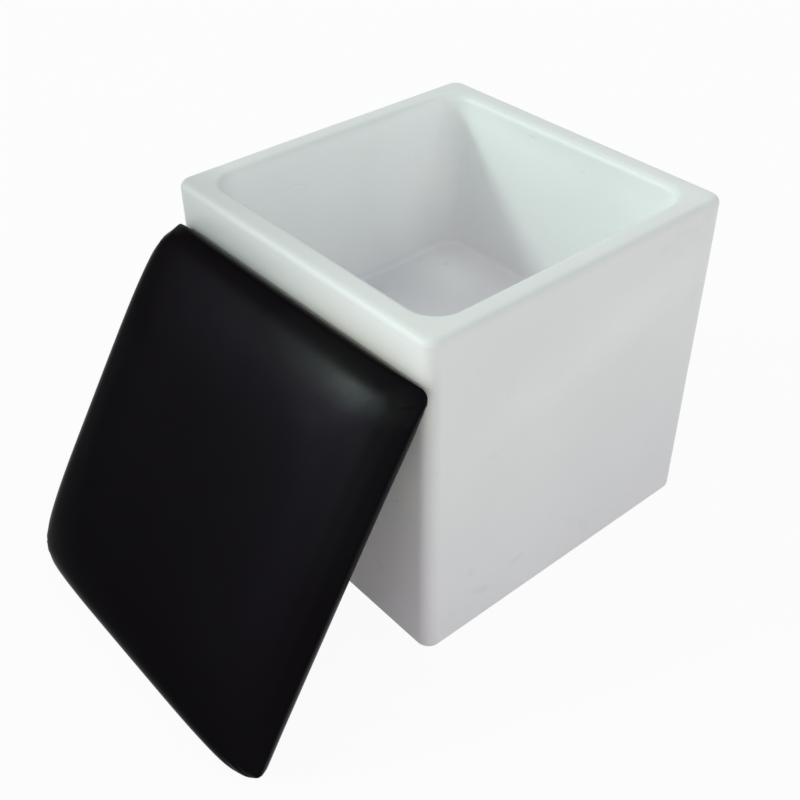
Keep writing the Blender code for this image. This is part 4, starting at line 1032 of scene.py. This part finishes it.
def foldCorner(vert, spec):
    diagonal = (abs(vert.co.x) + abs(vert.co.y)) / math.sqrt(2)
    past = diagonal - spec["facetStart"]
    side = sideAt(vert.co.x, vert.co.y, spec)
    if past > 0 and vert.co.z > side:
        vert.co.z -= past * spec["facetSlope"] * min((vert.co.z - side) / spec["facetFade"], 1)


# the fabric goes round the edge of the board, not through it
def clearBoard(vert, spec):
    core = spec["boardHalf"] - spec["boardRound"]
    past = Vector((max(abs(vert.co.x) - core, 0), max(abs(vert.co.y) - core, 0)))
    reach, clear = spec["boardReach"], spec["boardClear"]
    if vert.co.z <= spec["underside"]:
        reach, clear = spec["turnReach"], spec["boardClear"] / 2
    short = spec["boardRound"] + clear - past.length
    if vert.co.z < spec["boardTop"] and past.length > spec["boardRound"] - reach and short > 0:
        past *= short / past.length
        vert.co.x += math.copysign(past.x, vert.co.x)
        vert.co.y += math.copysign(past.y, vert.co.y)


# a corner that is worn or packed rounder than the rest
def bluntCorner(vert, spec):
    for wayX, wayY, start, share in spec["blunted"]:
        past = (vert.co.x * wayX + vert.co.y * wayY) / math.sqrt(2) - start
        if past > 0:
            vert.co.x -= wayX * past ** 2 * share
            vert.co.y -= wayY * past ** 2 * share


def settledMesh(made):
    graph = bpy.context.evaluated_depsgraph_get()
    return bpy.data.meshes.new_from_object(made.evaluated_get(graph), depsgraph=graph)


def removePiece(made):
    mesh = made.data
    bpy.data.objects.remove(made)
    bpy.data.meshes.remove(mesh)


def evenMoves(mesh, starts, spec):
    moves = []
    for vert, (start, outward) in zip(mesh.vertices, starts):
        move = vert.co - start
        inward = min(move.dot(outward), 0)
        moves.append(move - outward * inward * (1 - spec["inwardShare"]))
    bm = bmesh.new()
    bm.from_mesh(mesh)
    bm.verts.ensure_lookup_table()
    near = [[edge.other_vert(vert).index for edge in vert.link_edges] for vert in bm.verts]
    bm.free()
    for step in range(spec["evenPasses"]):
        around = [sum((moves[other] for other in others), Vector()) / len(others) for others in near]
        moves = [(move + mean) / 2 for move, mean in zip(moves, around)]
    return [move.normalized() * min(move.length, spec["swellCap"]) for move in moves]


clothSettings = {
    "quality": 5,
    "mass": 0.3,
    "tension_stiffness": 12,
    "compression_stiffness": 12,
    "shear_stiffness": 6,
    "bending_stiffness": 1.2,
    "vertex_group_mass": "held",
    "use_pressure": True,
}


# the cloth trial: an even skin over the pad is blown out a little, and its moves are kept
def swellMoves(pad, spec):
    made = addObject("padTrial", pad.copy())
    remesh = made.modifiers.new("evenOut", "REMESH")
    remesh.mode = "VOXEL"
    remesh.voxel_size = spec["voxel"]
    even = settledMesh(made)
    removePiece(made)
    made = addObject("padTrial", even)
    starts = [(vert.co.copy(), vert.normal.copy()) for vert in even.vertices]
    held = made.vertex_groups.new(name="held")
    for vert in even.vertices:
        share = 1 - share01((vert.co.z - spec["heldBelow"]) / spec["heldFade"])
        if share > 0:
            held.add([vert.index], share, "REPLACE")
    cloth = made.modifiers.new("swell", "CLOTH")
    for key, value in clothSettings.items():
        setattr(cloth.settings, key, value)
    cloth.settings.uniform_pressure_force = spec["pressure"]
    cloth.settings.effector_weights.gravity = 0
    cloth.collision_settings.use_collision = False
    cloth.point_cache.frame_start = 1
    cloth.point_cache.frame_end = spec["swellSteps"]
    for step in range(1, spec["swellSteps"] + 1):
        scene.frame_set(step)
    swollen = settledMesh(made)
    moves = evenMoves(swollen, starts, spec)
    bpy.data.meshes.remove(swollen)
    removePiece(made)
    scene.frame_set(1)
    tree = kdtree.KDTree(len(starts))
    for index, (start, outward) in enumerate(starts):
        tree.insert(start, index)
    tree.balance()
    print("stool: cushion swells at most", round(max(move.length for move in moves) * 1000, 2), "mm")
    return tree, moves


# the clean pad takes over the trial's moves
def swell(pad, spec):
    tree, moves = swellMoves(pad, spec)
    for vert in pad.vertices:
        near = tree.find_n(vert.co, 8)  # its eight nearest places, the closer the weightier
        weights = [1 / (distance + 0.001) for spot, index, distance in near]
        blend = sum((moves[index] * weight for (spot, index, distance), weight in zip(near, weights)), Vector())
        vert.co += blend / sum(weights)


def smoothed(pad):
    made = addObject("padTrial", pad)
    smooth = made.modifiers.new("smooth", "SUBSURF")
    smooth.levels = smooth.render_levels = 1
    fine = settledMesh(made)
    removePiece(made)
    return fine


# one stitched-in pleat over each corner and small gathers where the fabric turns under
def fromPleat(vert, spec):
    start, stop = Vector(spec["pleatFrom"]), Vector(spec["pleatTo"])
    way = (stop - start).normalized()
    flat = Vector((abs(vert.co.x), abs(vert.co.y))) - start
    return flat.dot(way), flat.x * way.y - flat.y * way.x, (stop - start).length


def nearPleat(vert, spec):
    along, across, length = fromPleat(vert, spec)
    reach = spec["pleatReach"]
    return -reach < along < length + reach and abs(across) < reach and vert.co.z > spec["pleatAbove"]


def refinePleats(bm, spec):
    close = [edge for edge in bm.edges if all(nearPleat(vert, spec) for vert in edge.verts)]
    bmesh.ops.subdivide_edges(bm, edges=close, cuts=2, use_grid_fill=True)


# a groove with a lap beside it, eased in at one end and out at the other
def pleatDepth(vert, spec):
    if not nearPleat(vert, spec):
        return 0
    along, across, length = fromPleat(vert, spec)
    before, easeIn = spec["pleatEase"]
    after, easeOut = spec["pleatEnd"]
    ends = share01((along + before) / easeIn) * share01((length + after - along) / easeOut)
    groove = math.exp(-((across / spec["pleatWidth"]) ** 2))
    lap = math.exp(-(((across - spec["lapAt"]) / spec["lapWidth"]) ** 2)) * spec["lapShare"]
    return (groove - lap) * spec["pleatDepth"] * ends


def gatherDepth(vert, spec):
    corner = spec["half"] * (1 - spec["cornerShare"]) - spec["gatherReach"]
    inX, inY = abs(vert.co.x) - corner, abs(vert.co.y) - corner
    low = 1 - share01((vert.co.z - spec["gatherFrom"]) / spec["gatherRise"])
    if min(inX, inY) <= 0 or low <= 0:
        return 0
    fade = min(min(inX, inY) / spec["gatherFade"], 1)
    return spec["gather"] * math.sin(spec["gatherWaves"] * math.atan2(inY, inX)) ** 2 * low * fade


def pleatCorners(bm, spec):
    bm.normal_update()
    middle = Vector((0, 0, spec["sideHeight"]))
    moves = []
    for vert in bm.verts:
        outward = vert.normal if vert.normal.dot(vert.co - middle) > 0 else -vert.normal
        moves.append(outward * -(pleatDepth(vert, spec) + gatherDepth(vert, spec)))
    for vert, move in zip(bm.verts, moves):
        vert.co += move


# the lower side is pressed flat where the lid stands on the floor
def restOnFloor(bm, spec):
    top = spec["pressedBelow"]
    lowest = min(vert.co.z for vert in bm.verts)
    for vert in bm.verts:
        if vert.co.z < top:
            vert.co.z = (vert.co.z - lowest) / (top - lowest) * top


# the upper side is pressed flat where the lid leans on the tub
def leanOnTub(bm, spec):
    wall = tubFoot.x + spec["leanAt"]
    start = wall - spec["leanFade"]
    furthest = max(vert.co.x for vert in bm.verts)
    for vert in bm.verts:
        if vert.co.x > start and furthest > wall:
            vert.co.x = start + (vert.co.x - start) / (furthest - start) * spec["leanFade"]


def makeLidCushion(spec):
    pad = makePadMesh(spec, 0)
    swell(pad, spec)
    bm = bmesh.new()
    takeMesh(pad, bm)
    lowest = [face for face in bm.faces if len(face.verts) > 4 and face.calc_center_median().z < spec["boardTop"]]
    bmesh.ops.delete(bm, geom=lowest, context="FACES_ONLY")
    fine = smoothed(meshOf("padOpen", bm))
    bm = bmesh.new()
    takeMesh(fine, bm)
    faceOutward(bm)
    bmesh.ops.solidify(bm, geom=bm.faces[:], thickness=spec["coverThickness"])
    faceOutward(bm)
    refinePleats(bm, spec)
    pleatCorners(bm, spec)
    for vert in bm.verts:
        vert.co = lidPlace @ vert.co
    restOnFloor(bm, spec)
    leanOnTub(bm, spec)
    mesh = meshOf("lidCushionCover", bm)
    piece = dressMesh("lidCushionCover", mesh, coatedBlack, "lid", spec["sharpAbove"])
    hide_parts("lid_cover")


makeLidCushion(lidSpec)
print("stool: cushion cover made")


# padding under the cover, cut flat where it lies on the board
paddingSpec = {"inset": 0.0065, "foot": 0.0141, "sharpAbove": 50}


def makePadding(spec):
    bm = bmesh.new()
    takeMesh(makePadMesh(lidSpec, spec["inset"]), bm)
    everything = bm.verts[:] + bm.edges[:] + bm.faces[:]
    cut = bmesh.ops.bisect_plane(
        bm, geom=everything, plane_co=(0, 0, spec["foot"]), plane_no=(0, 0, 1), dist=0.00001, clear_inner=True
    )
    rim = [item for item in cut["geom_cut"] if isinstance(item, bmesh.types.BMEdge)]
    bmesh.ops.edgeloop_fill(bm, edges=rim)
    piece = finishPiece("lidPadding", bm, creamFoam, "lid", spec["sharpAbove"], lidPlace)
    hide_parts("lid_foam")


# dust cloth under the board
liningSpec = {
    "half": 0.18725,
    "round": 0.012,
    "height": -0.0003,
    "thickness": 0.0008,
    "cornerSteps": 5,
    "sideCuts": 12,
    "hem": 0.006,
    "sharpAbove": 50,
}


def makeLining(spec):
    bm = bmesh.new()
    startLoop(bm, spec, spec["cornerSteps"], spec["sideCuts"])
    bmesh.ops.inset_region(bm, faces=bm.faces[:], thickness=spec["hem"], use_even_offset=True)
    faceOutward(bm)
    bmesh.ops.solidify(bm, geom=bm.faces[:], thickness=spec["thickness"])
    piece = finishPiece("dustCloth", bm, dustClothFinish, "lid", spec["sharpAbove"], lidPlace)
    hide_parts("lid_lining")


makePadding(paddingSpec)
makeLining(liningSpec)
print("stool: padding and dust cloth made")


# floor and surroundings: the camera and mirrors see plain white, all other light is soft
surroundSpec = {
    "floorHalf": 6,
    "floorTones": ((0.62, 0.62, 0.62), (0.65, 0.65, 0.65)),
    "floorGrain": 3.0,
    "floorWhite": 0.94,  # the rest of the floor's look keeps the object's shadow
    "colour": (0.985, 0.975, 1.0, 1),
    "strength": 0.68,
}
plainWhite = {"Color": (1, 1, 1, 1), "Strength": 1.0}


def seenDirectly(tree):
    path = addNode(tree, "LightPath").outputs
    seen = larger(tree, path["Is Camera Ray"], path["Is Glossy Ray"])
    return larger(tree, seen, path["Is Transmission Ray"])


def makeFloor(spec):
    bm = bmesh.new()
    bmesh.ops.create_grid(bm, x_segments=1, y_segments=1, size=spec["floorHalf"])
    floor = addObject("floor", meshOf("floor", bm))
    finish = bpy.data.materials.new("paleFloor")
    finish.use_nodes = True
    tree = finish.node_tree
    tree.nodes.clear()
    spot = addNode(tree, "TexCoord").outputs["Object"]
    tone = blendColours(tree, addNoise(tree, spot, {"Scale": spec["floorGrain"]}), *spec["floorTones"])
    matt = addNode(tree, "BsdfDiffuse", {"Color": tone})
    glow = addNode(tree, "Emission", plainWhite)
    share = times(tree, seenDirectly(tree), spec["floorWhite"])
    both = addNode(tree, "MixShader", {0: share, 1: matt.outputs[0], 2: glow.outputs[0]})
    addNode(tree, "OutputMaterial", {"Surface": both.outputs[0]})
    floor.data.materials.append(finish)


def makeWorld(spec):
    world = bpy.data.worlds.new("studio")
    world.use_nodes = True
    scene.world = world
    tree = world.node_tree
    tree.nodes.clear()
    soft = addNode(tree, "Background", {"Color": spec["colour"], "Strength": spec["strength"]})
    white = addNode(tree, "Background", plainWhite)
    both = addNode(tree, "MixShader", {0: seenDirectly(tree), 1: soft.outputs[0], 2: white.outputs[0]})
    addNode(tree, "OutputWorld", {"Surface": both.outputs[0]})


makeFloor(surroundSpec)
makeWorld(surroundSpec)
print("stool: floor and surroundings made")
